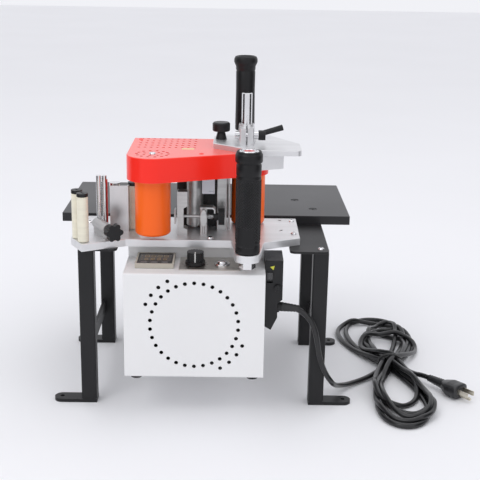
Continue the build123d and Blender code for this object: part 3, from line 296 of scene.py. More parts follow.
# ---- Strain relief at the gland
# Soft black PVC sleeve moulded on the cord, tapered and ringed so that the cord bends gradually. It is
# pushed into the gland's collar and covers the first 24 mm of cord.
def lathe(name, profile, origin, axis, material, segments=96, smooth=True, closed=False):
    """Turn a (radius, height) profile about an axis. A closed one makes a ring, an open one has flat ends."""
    along = Vector(axis).normalized()
    side = along.orthogonal().normalized()
    other = along.cross(side)
    mesh = bpy.data.meshes.new(name)
    vertices = []
    faces = []
    for radius, height in profile:
        for k in range(segments):
            angle = math.tau * k / segments
            out = side * math.cos(angle) + other * math.sin(angle)
            vertices.append(Vector(origin) + along * height + out * radius)
    rings = len(profile)
    for ring in range(rings if closed else rings - 1):
        low = ring * segments
        high = (ring + 1) % rings * segments
        for k in range(segments):
            after = (k + 1) % segments
            faces.append((low + k, low + after, high + after, high + k))
    if not closed:
        faces.append(tuple(reversed(range(segments))))
        faces.append(tuple(range((rings - 1) * segments, rings * segments)))
    mesh.from_pydata(vertices, [], faces)
    mesh.update()
    return link_mesh(name, mesh, material, smooth)


relief_pvc = surface("relief_pvc", (0.02, 0.02, 0.021), 0.45, tone=0.15, bump=0.2, bump_scale=700.0)
relief_profile = []
for ring in range(13):
    height = 0.0245 * ring / 12
    base = 0.0058 - 0.0018 * ring / 12
    relief_profile.append((base + (0.0005 if ring % 2 else 0.0), height))
strain_relief = lathe("strain_relief", relief_profile, (0.0995, -0.138, 0.141), (1.0, -0.03, -0.1),
                      relief_pvc, 40)
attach(strain_relief, "frame")

# ---- Mains plug
# Moulded black PVC plug with a ringed strain relief, a waisted body with finger ribs and three
# tinned brass pins: two flat blades and a round earth pin.
plug_pvc = surface("plug_pvc", (0.02, 0.02, 0.022), 0.38, tone=0.2, bump=0.15, bump_scale=600.0, coat=0.15)
plug_side = Vector((math.sin(plug_heading), -math.cos(plug_heading), 0.0))
plug_up = Vector((0.0, 0.0, 1.0))


def plug_section(distance, half_width, half_height, corner=2.6, count=40):
    """One superellipse ring of the plug at a distance along its axis."""
    ring = []
    for k in range(count):
        angle = math.tau * k / count
        c, s = math.cos(angle), math.sin(angle)
        x = half_width * math.copysign(abs(c) ** (2 / corner), c)
        z = half_height * math.copysign(abs(s) ** (2 / corner), s)
        ring.append(plug_face + plug_along * distance + plug_side * x + plug_up * z)
    return ring


plug_rings = []
for step in range(14):
    ridge = 0.0006 if step % 2 == 0 else -0.0004
    thickness = 0.0044 + 0.0018 * step / 13 + ridge
    plug_rings.append(plug_section(-0.0245 + 0.0019 * step, thickness, thickness, 2.0))
for distance, half_width, half_height in (
    (0.0015, 0.0068, 0.0064), (0.004, 0.0088, 0.0072), (0.008, 0.0108, 0.0082), (0.0125, 0.0128, 0.0094),
    (0.0145, 0.0131, 0.0097), (0.0160, 0.0126, 0.0092), (0.0175, 0.0132, 0.0097), (0.0190, 0.0127, 0.0092),
    (0.0205, 0.0133, 0.0098), (0.0220, 0.0128, 0.0093), (0.0235, 0.0133, 0.0098), (0.0285, 0.0134, 0.0099),
    (0.0303, 0.0132, 0.0096), (0.0310, 0.0124, 0.0088),
):
    plug_rings.append(plug_section(distance, half_width, half_height, 3.2))
ring_size = len(plug_rings[0])
plug_mesh = bpy.data.meshes.new("plug_shell")
plug_faces = [tuple(reversed(range(ring_size)))]
for ring in range(len(plug_rings) - 1):
    for k in range(ring_size):
        after = (k + 1) % ring_size
        low = ring * ring_size
        plug_faces.append((low + k, low + after, low + ring_size + after, low + ring_size + k))
plug_faces.append(tuple(range((len(plug_rings) - 1) * ring_size, len(plug_rings) * ring_size)))
plug_mesh.from_pydata([point for ring in plug_rings for point in ring], [], plug_faces)
plug_shell = link_mesh("plug_shell", plug_mesh, plug_pvc)
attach(plug_shell, "frame")
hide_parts("power_plug")

pin_metal = surface("pin_metal", (0.72, 0.68, 0.58), 0.28, metallic=1.0, tone=0.05, bump=0.08,
                    bump_scale=1500.0)
pin_mesh = bmesh.new()
plug_turn = Matrix((plug_side, plug_up, plug_along)).transposed().to_4x4()
for x, z, half_width, half_height, is_round in (
    (-0.0063, 0.0015, 0.00075, 0.00315, False), (0.0063, 0.0015, 0.00075, 0.00315, False),
    (0.0, -0.0052, 0.0024, 0.0024, True),
):
    middle = plug_face + plug_along * 0.0395 + plug_side * x + plug_up * z
    if is_round:
        made = bmesh.ops.create_cone(pin_mesh, cap_ends=True, segments=24, radius1=half_width,
                                     radius2=half_width * 0.9, depth=0.017)
        shape = plug_turn
    else:
        made = bmesh.ops.create_cube(pin_mesh, size=1.0)
        shape = plug_turn @ Matrix.Diagonal((half_width * 2, half_height * 2, 0.017, 1.0))
    bmesh.ops.transform(pin_mesh, matrix=Matrix.Translation(middle) @ shape, verts=made["verts"])
bmesh.ops.bevel(pin_mesh, geom=pin_mesh.edges[:], offset=0.0003, segments=2, affect="EDGES")
pins = bpy.data.meshes.new("plug_pins")
pin_mesh.to_mesh(pins)
plug_pins = link_mesh("plug_pins", pins, pin_metal, smooth=False)
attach(plug_pins, "frame")

# ---- Cord tie
# Black wire tie twisted round the middle of the hank, with its two ends pinched together on top.
tie_pvc = surface("tie_pvc", (0.02, 0.02, 0.02), 0.5, tone=0.2, bump=0.2, bump_scale=800.0)
tie_points = []
for turn in range(37):
    angle = math.tau * turn / 18 - math.pi / 2
    tie_points.append((
        tie_place.x + 0.0165 * math.cos(angle),
        tie_place.y + 0.0045 * (turn / 36 - 0.5),
        0.0135 + 0.0118 * math.sin(angle),
    ))
cord_tie = spline_curve("cord_tie", tie_points, 0.0014, tie_pvc, 6)
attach(cord_tie, "frame")

# ---- Bench frame
# Two welded steel side frames and two bolted strips, all in satin black powder coat with a fine
# orange-peel texture. The legs are square tube on flat foot tabs.
def edge_wear_and_painted_light(material, edge_color, amount=0.5):
    """Mix an edge colour in along the raised edges of a surface made by surface(): partly real wear, partly
    painted light, a painted highlight where the colour is lighter than the surface and painted shade where it
    is darker.
    """
    nodes = material.node_tree.nodes
    links = material.node_tree.links
    shader = nodes["Principled BSDF"]
    base = shader.inputs["Base Color"].links[0].from_socket
    bevel = nodes.new("ShaderNodeBevel")
    bevel.inputs["Radius"].default_value = 0.0008
    geometry = nodes.new("ShaderNodeNewGeometry")
    dot = nodes.new("ShaderNodeVectorMath")
    dot.operation = "DOT_PRODUCT"
    links.new(bevel.outputs["Normal"], dot.inputs[0])
    links.new(geometry.outputs["Normal"], dot.inputs[1])
    ramp = nodes.new("ShaderNodeMapRange")
    ramp.inputs["From Min"].default_value = 0.97
    ramp.inputs["From Max"].default_value = 0.80
    ramp.inputs["To Max"].default_value = amount
    links.new(dot.outputs["Value"], ramp.inputs["Value"])
    mix = nodes.new("ShaderNodeMix")
    mix.data_type = "RGBA"
    mix.inputs["B"].default_value = (*edge_color, 1.0)
    links.new(ramp.outputs["Result"], mix.inputs["Factor"])
    links.new(base, mix.inputs["A"])
    links.new(mix.outputs["Result"], shader.inputs["Base Color"])


def dress(material, *nodes):
    """Give CAD nodes a material."""
    for node in nodes:
        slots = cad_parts[node].data.materials
        slots.clear()
        slots.append(material)


powder_black = surface("powder_black", (0.014, 0.014, 0.015), 0.42, shine=0.3, tone=0.12,
                       tone_scale=14.0, bump=0.35,
                       bump_scale=1400.0, bump_distance=0.00012)
# Lighter edges on the black powder coat: wear and painted highlight.
edge_wear_and_painted_light(powder_black, (0.16, 0.16, 0.165), 0.45)
dress(powder_black, "side_frames", "side_strips")

# ---- Work table
# Flat board faced with black melamine: an even satin sheen, faint wipe marks and lighter square edges, partly
# wear and partly painted highlight.
table_face = surface("table_face", (0.020, 0.020, 0.022), 0.34, shine=0.35, tone=0.10, tone_scale=5.0,
                     bump=0.22,
                     bump_scale=2200.0, bump_distance=0.00006, rough_spread=0.09)
edge_wear_and_painted_light(table_face, (0.14, 0.14, 0.145), 0.35)
dress(table_face, "work_table")

# ---- Base plate and upper guide
# Sand-cast aluminium, milled flat and lightly brushed: fine parallel lines with slow tonal patches.
milled_aluminium = surface("milled_aluminium", (0.76, 0.76, 0.77), 0.38, metallic=0.75, tone=0.06,
                           tone_scale=9.0, bump=0.35, bump_scale=500.0, stretch=(1.0, 8.0, 1.0),
                           bump_distance=0.00008)
# Lighter edges on the aluminium: wear and painted highlight.
edge_wear_and_painted_light(milled_aluminium, (0.93, 0.93, 0.93), 0.6)
dress(milled_aluminium, "base_plate", "top_guide_plate", "post_clamp")

# ---- Control box
# Folded steel sheet in semi-gloss white powder coat, with a back cover in the same finish.
powder_white = surface("powder_white", (0.80, 0.80, 0.80), 0.36, tone=0.015, tone_scale=8.0, bump=0.3,
                       bump_scale=1300.0, bump_distance=0.0001)
# Edges mixed darker than the white face: wear and painted shade.
edge_wear_and_painted_light(powder_white, (0.66, 0.66, 0.67), 0.3)
dress(powder_white, "control_box", "box_back_cover")

# ---- Gear cover
# Die-cast cover, sprayed gloss vermilion with a clear, slightly rippled coat.
red_paint = surface("red_paint", (1.0, 0.022, 0.010), 0.30, shine=0.3, tone=0.05, tone_scale=10.0, bump=0.18,
                    bump_scale=500.0, coat=0.15, bump_distance=0.0001)
# Lighter edges on the red paint: wear and painted highlight.
edge_wear_and_painted_light(red_paint, (0.95, 0.30, 0.22), 0.35)


def painted_top_sheen(material, sheen_color, amount):
    """Lighten the faces that look up: a painted highlight standing for the bright surround reflected in glossy
    paint.
    """
    nodes = material.node_tree.nodes
    links = material.node_tree.links
    shader = nodes["Principled BSDF"]
    base = shader.inputs["Base Color"].links[0].from_socket
    geometry = nodes.new("ShaderNodeNewGeometry")
    split = nodes.new("ShaderNodeSeparateXYZ")
    links.new(geometry.outputs["Normal"], split.inputs["Vector"])
    top_sheen_mask = nodes.new("ShaderNodeMapRange")
    top_sheen_mask.inputs["From Min"].default_value = 0.5
    top_sheen_mask.inputs["To Max"].default_value = amount
    links.new(split.outputs["Z"], top_sheen_mask.inputs["Value"])
    mix = nodes.new("ShaderNodeMix")
    mix.data_type = "RGBA"
    mix.inputs["B"].default_value = (*sheen_color, 1.0)
    links.new(top_sheen_mask.outputs["Result"], mix.inputs["Factor"])
    links.new(base, mix.inputs["A"])
    links.new(mix.outputs["Result"], shader.inputs["Base Color"])


# The red paint's up-facing faces get a pale pink painted highlight, the reflection of the white surround.
painted_top_sheen(red_paint, (0.95, 0.30, 0.27), 0.55)
dress(red_paint, "gear_cover")

# ---- Motor covers
# Injection-moulded orange cups, glossy outside, with faint vertical flow lines.
orange_plastic = surface("orange_plastic", (1.0, 0.135, 0.006), 0.34, shine=0.3, tone=0.07,
                         tone_scale=26.0, bump=0.15,
                         bump_scale=420.0, stretch=(1.0, 1.0, 0.12), coat=0.12)
dress(orange_plastic, "motor_cover_front", "motor_cover_rear")

# ---- Turned and ground steel
# Guide parts, cutter, roller and gears are bare machined steel with fine tool marks across the axis.
machined_steel = surface("machined_steel", (0.52, 0.515, 0.51), 0.36, metallic=0.85, tone=0.10,
                         tone_scale=40.0,
                         bump=0.3, bump_scale=900.0, stretch=(1.0, 1.0, 5.0), bump_distance=0.0001)
# Lighter edges on the steel: wear and painted highlight.
edge_wear_and_painted_light(machined_steel, (0.8, 0.8, 0.8), 0.5)
dress(machined_steel, "cutter_frame", "cutter_rod", "housing_columns", "gear_housing_floor", "glue_roller",
      "drive_gear", "idler_gear", "roller_gear", "geared_motors", "wing_screw", "guide_clamp")
polished_sheet = surface("polished_sheet", (0.66, 0.64, 0.64), 0.30, metallic=1.0, tone=0.04, bump=0.1,
                         bump_scale=1200.0, stretch=(6.0, 6.0, 1.0), bump_distance=0.00005)
dress(polished_sheet, "tape_guide_plate")
bright_steel = surface("bright_steel", (0.78, 0.78, 0.79), 0.15, metallic=1.0, tone=0.04, tone_scale=30.0,
                       bump=0.06, bump_scale=1500.0, bump_distance=0.00005)
dress(bright_steel, "height_post", "clamp_bolt", "grip_bolts", "button_bezel", "push_button", "guide_posts")

# ---- Moulded black fittings
# Glass-filled nylon knobs, switch module, caps and lever, with a fine spark-eroded mould texture.
black_nylon = surface("black_nylon", (0.010, 0.010, 0.011), 0.38, shine=0.35, tone=0.2,
                      tone_scale=50.0, bump=0.45,
                      bump_scale=2400.0, bump_distance=0.00008)
# Lighter edges on the nylon: wear and painted highlight.
edge_wear_and_painted_light(black_nylon, (0.07, 0.07, 0.07), 0.5)
dress(black_nylon, "power_module", "speed_knob", "top_knob", "star_knob", "cutter_knob", "clamp_lever",
      "roller_pins", "cable_gland", "fuse_cap")
rocker_plastic = surface("rocker_plastic", (0.05, 0.05, 0.052), 0.28, tone=0.1, bump=0.1, bump_scale=1500.0,
                         coat=0.2)
dress(rocker_plastic, "rocker_switch")
feet_rubber = surface("feet_rubber", (0.02, 0.02, 0.02), 0.75, tone=0.25, bump=0.5, bump_scale=1500.0)
dress(feet_rubber, "box_feet", "pressure_roller")

# ---- Tape rollers
# Cream nylon tube, turned to size, with faint rings from the lathe.
cream_nylon = surface("cream_nylon", (0.80, 0.76, 0.62), 0.42, tone=0.05, tone_scale=30.0, bump=0.25,
                      bump_scale=500.0, stretch=(1.0, 1.0, 8.0), bump_distance=0.0001)
dress(cream_nylon, "tape_roller_1", "tape_roller_2", "tape_roller_3")

# ---- Glue pot
# Cast pot with a baked black release coat, dull and slightly pitted.
pot_coat = surface("pot_coat", (0.028, 0.027, 0.027), 0.5, metallic=0.2, tone=0.3, tone_scale=30.0, bump=0.6,
                   bump_scale=700.0, bump_distance=0.0002)
dress(pot_coat, "glue_pot")

# ---- Limit switch, controller and electronics
# Light grey moulded switch case; dark controller with a satin face; green board inside the box.
switch_grey = surface("switch_grey", (0.62, 0.64, 0.69), 0.4, tone=0.04, bump=0.25, bump_scale=1800.0)
dress(switch_grey, "limit_switch")
controller_black = surface("controller_black", (0.032, 0.030, 0.029), 0.38, tone=0.15, bump=0.3,
                           bump_scale=2200.0, bump_distance=0.00006)
# Lighter edges on the controller: wear and painted highlight.
edge_wear_and_painted_light(controller_black, (0.12, 0.11, 0.10), 0.5)
dress(controller_black, "temperature_controller")
key_grey = surface("key_grey", (0.16, 0.15, 0.15), 0.55, tone=0.08, bump=0.3, bump_scale=1800.0)
dress(key_grey, "controller_key_1", "controller_key_2", "controller_key_3")
board_green = surface("board_green", (0.02, 0.12, 0.05), 0.4, tone=0.2, bump=0.2)
dress(board_green, "control_electronics")

# ---- Control panel
# Brushed stainless strip: long fine lines along its length.
brushed_panel = surface("brushed_panel", (0.60, 0.57, 0.53), 0.30, metallic=0.95, tone=0.12, tone_scale=120.0,
                        bump=0.5, bump_scale=900.0, stretch=(0.06, 6.0, 1.0), bump_distance=0.0001)
dress(brushed_panel, "control_panel")

# ---- Front handle
# Moulded black rubber sleeve on the bolt in the plate's tongue: plain bands and grooves at both ends,
# a collar near the top, a diamond knurl round the middle and one smooth raised pad low on the front.
grip_rubber = surface("grip_rubber", (0.009, 0.009, 0.010), 0.42, shine=0.28, tone=0.15,
                      tone_scale=60.0, bump=0.35,
                      bump_scale=1800.0, bump_distance=0.00008)
# Lighter edges on the rubber, knurl studs included: wear and painted highlight.
edge_wear_and_painted_light(grip_rubber, (0.07, 0.07, 0.072), 0.6)
grip_axis = (0.055, -0.1735)
knurl_low = 0.2405
front_profile = [
    (0.0135, 0.2230), (0.0150, 0.2244), (0.0152, 0.2265), (0.0152, 0.2340), (0.0146, 0.2348),
    (0.0146, 0.2362), (0.0152, 0.2370), (0.0152, 0.2392), (0.0147, 0.2400), (0.0147, 0.3156),
    (0.0152, 0.3164), (0.0152, 0.3190), (0.0146, 0.3197), (0.0146, 0.3208), (0.0152, 0.3215),
    (0.0152, 0.3335), (0.0145, 0.3344), (0.0145, 0.3360), (0.0160, 0.3368), (0.0166, 0.3380),
    (0.0166, 0.3455), (0.0161, 0.3468), (0.0153, 0.3474), (0.0152, 0.3490), (0.0146, 0.3500),
    (0.0126, 0.3500), (0.0122, 0.3494), (0.0122, 0.3460),
]


def new_tree(name, sizes):
    """An empty Geometry Nodes tree with a mesh in, a mesh out and one named input for each size."""
    tree = bpy.data.node_groups.new(name, "GeometryNodeTree")
    tree.interface.new_socket("Geometry", in_out="INPUT", socket_type="NodeSocketGeometry")
    for label, kind in sizes:
        tree.interface.new_socket(label, in_out="INPUT", socket_type=kind)
    tree.interface.new_socket("Geometry", in_out="OUTPUT", socket_type="NodeSocketGeometry")
    return tree, tree.nodes.new("NodeGroupInput"), tree.nodes.new("NodeGroupOutput")


def add_node(tree, kind, settings=(), **wires):
    """Add a node, set its properties, and fill each input with a value or a link from a socket."""
    node = tree.nodes.new(kind)
    for label, value in settings:
        setattr(node, label, value)
    for label, value in wires.items():
        target = node.inputs[int(label[1:])] if label[0] == "n" and label[1:].isdigit() else None
        target = target if target is not None else node.inputs[label.replace("_", " ")]
        if isinstance(value, bpy.types.NodeSocket):
            tree.links.new(value, target)
        else:
            target.default_value = value
    return node


def math_node(tree, operation, first, second=0.0):
    """One maths step of a tree, as its output socket."""
    return add_node(tree, "ShaderNodeMath", [("operation", operation)], n0=first, n1=second).outputs[0]


def finish_tree(tree, shape, output, material, piece, values):
    """End a tree with Realize Instances and Set Material, run it on a piece and make the result plain."""
    real = add_node(tree, "GeometryNodeRealizeInstances", Geometry=shape)
    painted = add_node(tree, "GeometryNodeSetMaterial", Geometry=real.outputs[0], Material=material)
    tree.links.new(painted.outputs[0], output.inputs[0])
    modifier = piece.modifiers.new(tree.name, "NODES")
    modifier.node_group = tree
    for item in tree.interface.items_tree:
        if item.in_out == "INPUT" and item.name in values:
            modifier[item.identifier] = values[item.name]
    plain = bpy.data.meshes.new_from_object(piece.evaluated_get(bpy.context.evaluated_depsgraph_get()))
    piece.modifiers.remove(modifier)
    piece.data = plain
    return piece


front_handle = lathe("front_handle", front_profile, (*grip_axis, 0.0), (0, 0, 1), grip_rubber, 96)
knurl_sizes = [("Knurl Radius", "NodeSocketFloat"), ("Knurl Low", "NodeSocketFloat"),
               ("Row Pitch", "NodeSocketFloat"), ("Stud Radius", "NodeSocketFloat"),
               ("Columns", "NodeSocketInt"), ("Rows", "NodeSocketInt")]
tree, given, result = new_tree("diamond_knurl", knurl_sizes)
sheet = add_node(tree, "GeometryNodeMeshGrid", Vertices_X=given.outputs["Columns"],
                 Vertices_Y=given.outputs["Rows"], Size_X=1.0, Size_Y=1.0)
count = add_node(tree, "GeometryNodeInputIndex").outputs[0]
column = math_node(tree, "DIVIDE", math_node(tree, "ADD", count, 0.5), given.outputs["Rows"])
column = math_node(tree, "FLOOR", column)
row = math_node(tree, "SUBTRACT", count, math_node(tree, "MULTIPLY", column, given.outputs["Rows"]))
offset = math_node(tree, "MULTIPLY", math_node(tree, "MODULO", row, 2.0), 0.5)
turn = math_node(tree, "MULTIPLY", math_node(tree, "ADD", column, offset), math.tau)
turn = math_node(tree, "DIVIDE", turn, given.outputs["Columns"])
out_x = math_node(tree, "COSINE", turn)
out_y = math_node(tree, "SINE", turn)
facing = add_node(tree, "ShaderNodeCombineXYZ", X=out_x, Y=out_y, Z=0.0).outputs[0]
reach_x = math_node(tree, "MULTIPLY", out_x, given.outputs["Knurl Radius"])
reach_y = math_node(tree, "MULTIPLY", out_y, given.outputs["Knurl Radius"])
climb = math_node(tree, "MULTIPLY", row, given.outputs["Row Pitch"])
place = add_node(
    tree, "ShaderNodeCombineXYZ",
    X=math_node(tree, "ADD", reach_x, grip_axis[0]),
    Y=math_node(tree, "ADD", reach_y, grip_axis[1]),
    Z=math_node(tree, "ADD", climb, given.outputs["Knurl Low"]),
).outputs[0]
stud = add_node(tree, "GeometryNodeMeshCone", Vertices=4, Radius_Top=0.0006,
                Radius_Bottom=given.outputs["Stud Radius"], Depth=0.00092)
dots = add_node(tree, "GeometryNodeMeshToPoints", Mesh=sheet.outputs[0], Position=place)
toward = add_node(tree, "FunctionNodeAlignRotationToVector", [("axis", "Z")], Vector=facing)
studs = add_node(tree, "GeometryNodeInstanceOnPoints", Points=dots.outputs[0], Instance=stud.outputs[0],
                 Rotation=toward.outputs[0])
joined = add_node(tree, "GeometryNodeJoinGeometry")
tree.links.new(studs.outputs[0], joined.inputs[0])
tree.links.new(given.outputs["Geometry"], joined.inputs[0])
finish_tree(tree, joined.outputs[0], result, grip_rubber, front_handle, {
    "Knurl Radius": 0.0146, "Knurl Low": knurl_low + 0.001, "Row Pitch": 0.00178, "Stud Radius": 0.00168,
    "Columns": 26, "Rows": 42,
})
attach(front_handle, "frame")
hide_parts("front_grip")

pad_mesh = bpy.data.meshes.new("grip_pad")
pad_columns, pad_rows = 24, 8
pad_points = []
for layer_radius in (0.0143, 0.01555):
    for r in range(pad_rows + 1):
        for c in range(pad_columns + 1):
            angle = math.radians(-104.0 + 92.0 * (c / pad_columns - 0.5))
            edge = 0.0003 if r in (0, pad_rows) or c in (0, pad_columns) else 0.0
            radius = layer_radius - (edge if layer_radius > 0.015 else 0.0)
            pad_points.append((
                grip_axis[0] + radius * math.cos(angle),
                grip_axis[1] + radius * math.sin(angle),
                0.2330 + 0.0250 * r / pad_rows,
            ))
pad_faces = []
layer = (pad_rows + 1) * (pad_columns + 1)
for r in range(pad_rows):
    for c in range(pad_columns):
        a = r * (pad_columns + 1) + c
        b, d, e = a + 1, a + pad_columns + 1, a + pad_columns + 2
        pad_faces.append((layer + a, layer + b, layer + e, layer + d))
        pad_faces.append((a, d, e, b))
rim = [c for c in range(pad_columns)] + [r * (pad_columns + 1) + pad_columns for r in range(pad_rows)]
rim += [pad_rows * (pad_columns + 1) + c for c in range(pad_columns, 0, -1)]
rim += [r * (pad_columns + 1) for r in range(pad_rows, 0, -1)]
for a, b in zip(rim, rim[1:] + rim[:1]):
    pad_faces.append((a, b, layer + b, layer + a))
pad_mesh.from_pydata(pad_points, [], pad_faces)
grip_pad = link_mesh("grip_pad", pad_mesh, grip_rubber, smooth=False)
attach(grip_pad, "frame")

# The end of the handle is closed by a chromed brass ring with a red enamel disc let into it.
chrome = surface("chrome", (0.80, 0.80, 0.82), 0.10, metallic=1.0, tone=0.03, bump=0.04, bump_scale=900.0,
                 bump_distance=0.00004)
enamel_red = surface("enamel_red", (0.75, 0.03, 0.03), 0.22, tone=0.08, bump=0.05, coat=0.5)
cap_ring = lathe("cap_ring", [(0.0120, 0.3462), (0.0120, 0.3498), (0.0114, 0.3508), (0.0095, 0.3510),
                              (0.0075, 0.3507), (0.0070, 0.3500), (0.0070, 0.3462)],
                 (*grip_axis, 0.0), (0, 0, 1), chrome, closed=True)
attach(cap_ring, "frame")
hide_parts("grip_cap")
cap_disc = lathe("cap_disc", [(0.0069, 0.3464), (0.0069, 0.3499), (0.0062, 0.3503), (0.0030, 0.3504)],
                 (*grip_axis, 0.0), (0, 0, 1), enamel_red, 64)
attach(cap_disc, "frame")

# ---- Rear handle
# Plain black rubber sleeve on the rear pipe, with two seam grooves and a mushroom cap with a dished top.
rear_profile = [
    (0.0120, 0.3500), (0.0128, 0.3512), (0.0129, 0.3560), (0.0127, 0.3566), (0.0127, 0.3574),
    (0.0129, 0.3580), (0.0126, 0.3800), (0.0124, 0.4050), (0.0126, 0.4270), (0.0122, 0.4276),
    (0.0122, 0.4288), (0.0127, 0.4294), (0.0129, 0.4340), (0.0143, 0.4368), (0.0153, 0.4392),
    (0.0154, 0.4418), (0.0150, 0.4440), (0.0138, 0.4462), (0.0120, 0.4470), (0.0108, 0.4466),
    (0.0100, 0.4454), (0.0060, 0.4448),
]
rear_handle = lathe("rear_handle", rear_profile, (0.051, -0.027, 0.0), (0, 0, 1), grip_rubber)
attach(rear_handle, "frame")
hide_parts("rear_grip")

# ---- Screws
# Zinc-plated button heads with a hex socket on the plate, strip and gear cover; the board's four are
# blacked countersunk screws. All are pressed steel with rolled threads below the surface.
screw_black = surface("screw_black", (0.012, 0.012, 0.012), 0.45, metallic=0.3, tone=0.2, bump=0.1)


def screw_head(name, radius, rise, socket, depth):
    """One domed head with a hexagonal socket, centred on its seat."""
    head_mesh = bmesh.new()
    sides = 30
    rings = []
    dome = [
        (1.0, -0.0015), (1.0, 0.0), (0.97, rise * 0.35),
        (0.85, rise * 0.7), (0.66, rise * 0.95), (0.52, rise),
    ]
    for share, height in dome:
        rings.append([head_mesh.verts.new((radius * share * math.cos(math.tau * k / sides),
                                           radius * share * math.sin(math.tau * k / sides), height))
                      for k in range(sides)])
    for height in (rise, rise - depth):
        hexagon = []
        for k in range(sides):
            angle = math.tau * k / sides
            flat = socket * math.cos(math.pi / 6) / math.cos((angle % (math.pi / 3)) - math.pi / 6)
            hexagon.append(head_mesh.verts.new((flat * math.cos(angle), flat * math.sin(angle), height)))
        rings.append(hexagon)
    for low, high in zip(rings, rings[1:]):
        for k in range(sides):
            after = (k + 1) % sides
            head_mesh.faces.new((low[k], low[after], high[after], high[k]))
    head_mesh.faces.new(list(reversed(rings[0])))
    head_mesh.faces.new(rings[-1])
    mesh = bpy.data.meshes.new(name)
    head_mesh.to_mesh(mesh)
    return mesh


def place_screws(name, spots, head_mesh, material):
    """Put one head on each spot with a tree and return the plain piece."""
    dots = bpy.data.meshes.new(name)
    dots.from_pydata(spots, [], [])
    piece = bpy.data.objects.new(name, dots)
    scene.collection.objects.link(piece)
    pattern = bpy.data.objects.new(name + "_head", head_mesh)
    scene.collection.objects.link(pattern)
    tree, given, result = new_tree(name + "_tree", [("Head Scale", "NodeSocketFloat")])
    source = add_node(tree, "GeometryNodeObjectInfo", Object=pattern)
    turned = add_node(tree, "FunctionNodeRandomValue", [("data_type", "FLOAT")], Seed=7)
    turned.inputs[3].default_value = math.tau
    angles = add_node(tree, "ShaderNodeCombineXYZ", X=0.0, Y=0.0, Z=turned.outputs[1])
    heads = add_node(tree, "GeometryNodeInstanceOnPoints", Points=given.outputs["Geometry"],
                     Instance=source.outputs["Geometry"], Rotation=angles.outputs[0],
                     Scale=given.outputs["Head Scale"])
    finish_tree(tree, heads.outputs[0], result, material, piece, {"Head Scale": 1.0})
    bpy.data.objects.remove(pattern)
    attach(piece, "frame")
    return piece


button_head = screw_head("button_head", 0.0042, 0.0021, 0.0015, 0.0013)
flat_head = screw_head("flat_head", 0.0048, 0.0001, 0.0019, 0.0014)
plate_top, strip_top, cover_top, board_top = 0.2230, 0.2135, 0.3330, 0.2251
zinc_screws = place_screws("zinc_screws", [
    (0.117, -0.022, plate_top), (0.117, -0.084, plate_top), (-0.156, -0.040, plate_top),
    (0.008, -0.110, plate_top), (0.150, -0.1215, strip_top), (-0.065, -0.1145, cover_top),
], button_head, bright_steel)
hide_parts("machine_screws")
red_screws = place_screws("red_screws", [(-0.088, -0.016, cover_top), (-0.004, -0.110, cover_top)],
                          screw_head("small_head", 0.0030, 0.0010, 0.0012, 0.0008), red_paint)
board_screws = place_screws("board_screws", [
    (-0.151, 0.038, board_top), (0.151, 0.038, board_top),
    (-0.128, 0.090, board_top), (0.128, 0.090, board_top),
], flat_head, screw_black)

# ---- Controller face
# A grey-beige moulded frame snaps round the controller's case. Behind a smoked window are two rows of
# unlit seven-bar digits, and three small lamps stand beside them.
def box_mesh(name, boxes, material):
    """Boxes given by lowest and highest corner, joined into one piece."""
    made = bmesh.new()
    for low, high in boxes:
        middle = (Vector(low) + Vector(high)) / 2
        size = Vector(high) - Vector(low)
        place = Matrix.Translation(middle) @ Matrix.Diagonal((*size, 1.0))
        bmesh.ops.create_cube(made, size=1.0, matrix=place)
    mesh = bpy.data.meshes.new(name)
    made.to_mesh(mesh)
    return link_mesh(name, mesh, material, smooth=False)


controller_x, controller_y = -0.061, -0.130
frame_beige = surface("frame_beige", (0.50, 0.46, 0.39), 0.45, tone=0.06, bump=0.3, bump_scale=2000.0)
smoked_window = surface("smoked_window", (0.035, 0.020, 0.014), 0.10, tone=0.1, bump=0.02, coat=0.6)
digit_amber = surface("digit_amber", (0.42, 0.30, 0.17), 0.35, tone=0.1, bump=0.05)
rim_outer, rim_inner, rim_low, rim_high = 0.0243, 0.0222, 0.1953, 0.2014
out_left, in_left = controller_x - rim_outer, controller_x - rim_inner
in_right, out_right = controller_x + rim_inner, controller_x + rim_outer
out_front, in_front = controller_y - rim_outer, controller_y - rim_inner
in_back, out_back = controller_y + rim_inner, controller_y + rim_outer
controller_rim = box_mesh("controller_rim", [
    ((out_left, out_front, rim_low), (out_right, in_front, rim_high)),
    ((out_left, in_back, rim_low), (out_right, out_back, rim_high)),
    ((out_left, in_front, rim_low), (in_left, in_back, rim_high)),
    ((in_right, in_front, rim_low), (out_right, in_back, rim_high)),
], frame_beige)
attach(controller_rim, "frame")
window_y = -0.1255
controller_window = box_mesh("controller_window", [
    ((controller_x - 0.0203, window_y - 0.0148, 0.2000), (controller_x + 0.0203, window_y + 0.0148, 0.2006)),
], smoked_window)
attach(controller_window, "frame")
bars = []
bar_low, bar_high = 0.2005, 0.20075
pitch = 0.0080
for row_y, digit_width, digit_height in ((-0.1242, 0.0052, 0.0086), (-0.1358, 0.0040, 0.0064)):
    for digit in range(4):
        left = controller_x - 0.0135 + pitch * digit
        right = left + digit_width
        middle_y = row_y + digit_height / 2
        for bar_y in (row_y, middle_y, row_y + digit_height):
            bars.append(((left + 0.0006, bar_y - 0.0004, bar_low), (right - 0.0006, bar_y + 0.0004, bar_high)))
        for bar_x in (left, right):
            for low_y, high_y in ((row_y, middle_y), (middle_y, row_y + digit_height)):
                bars.append(((bar_x - 0.0004, low_y + 0.0006, bar_low),
                             (bar_x + 0.0004, high_y - 0.0006, bar_high)))
for lamp in range(3):
    lamp_y = -0.1340 + 0.0080 * lamp
    bars.append(((controller_x - 0.0180, lamp_y - 0.0006, bar_low),
                 (controller_x - 0.0168, lamp_y + 0.0006, bar_high)))
controller_digits = box_mesh("controller_digits", bars, digit_amber)
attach(controller_digits, "frame")

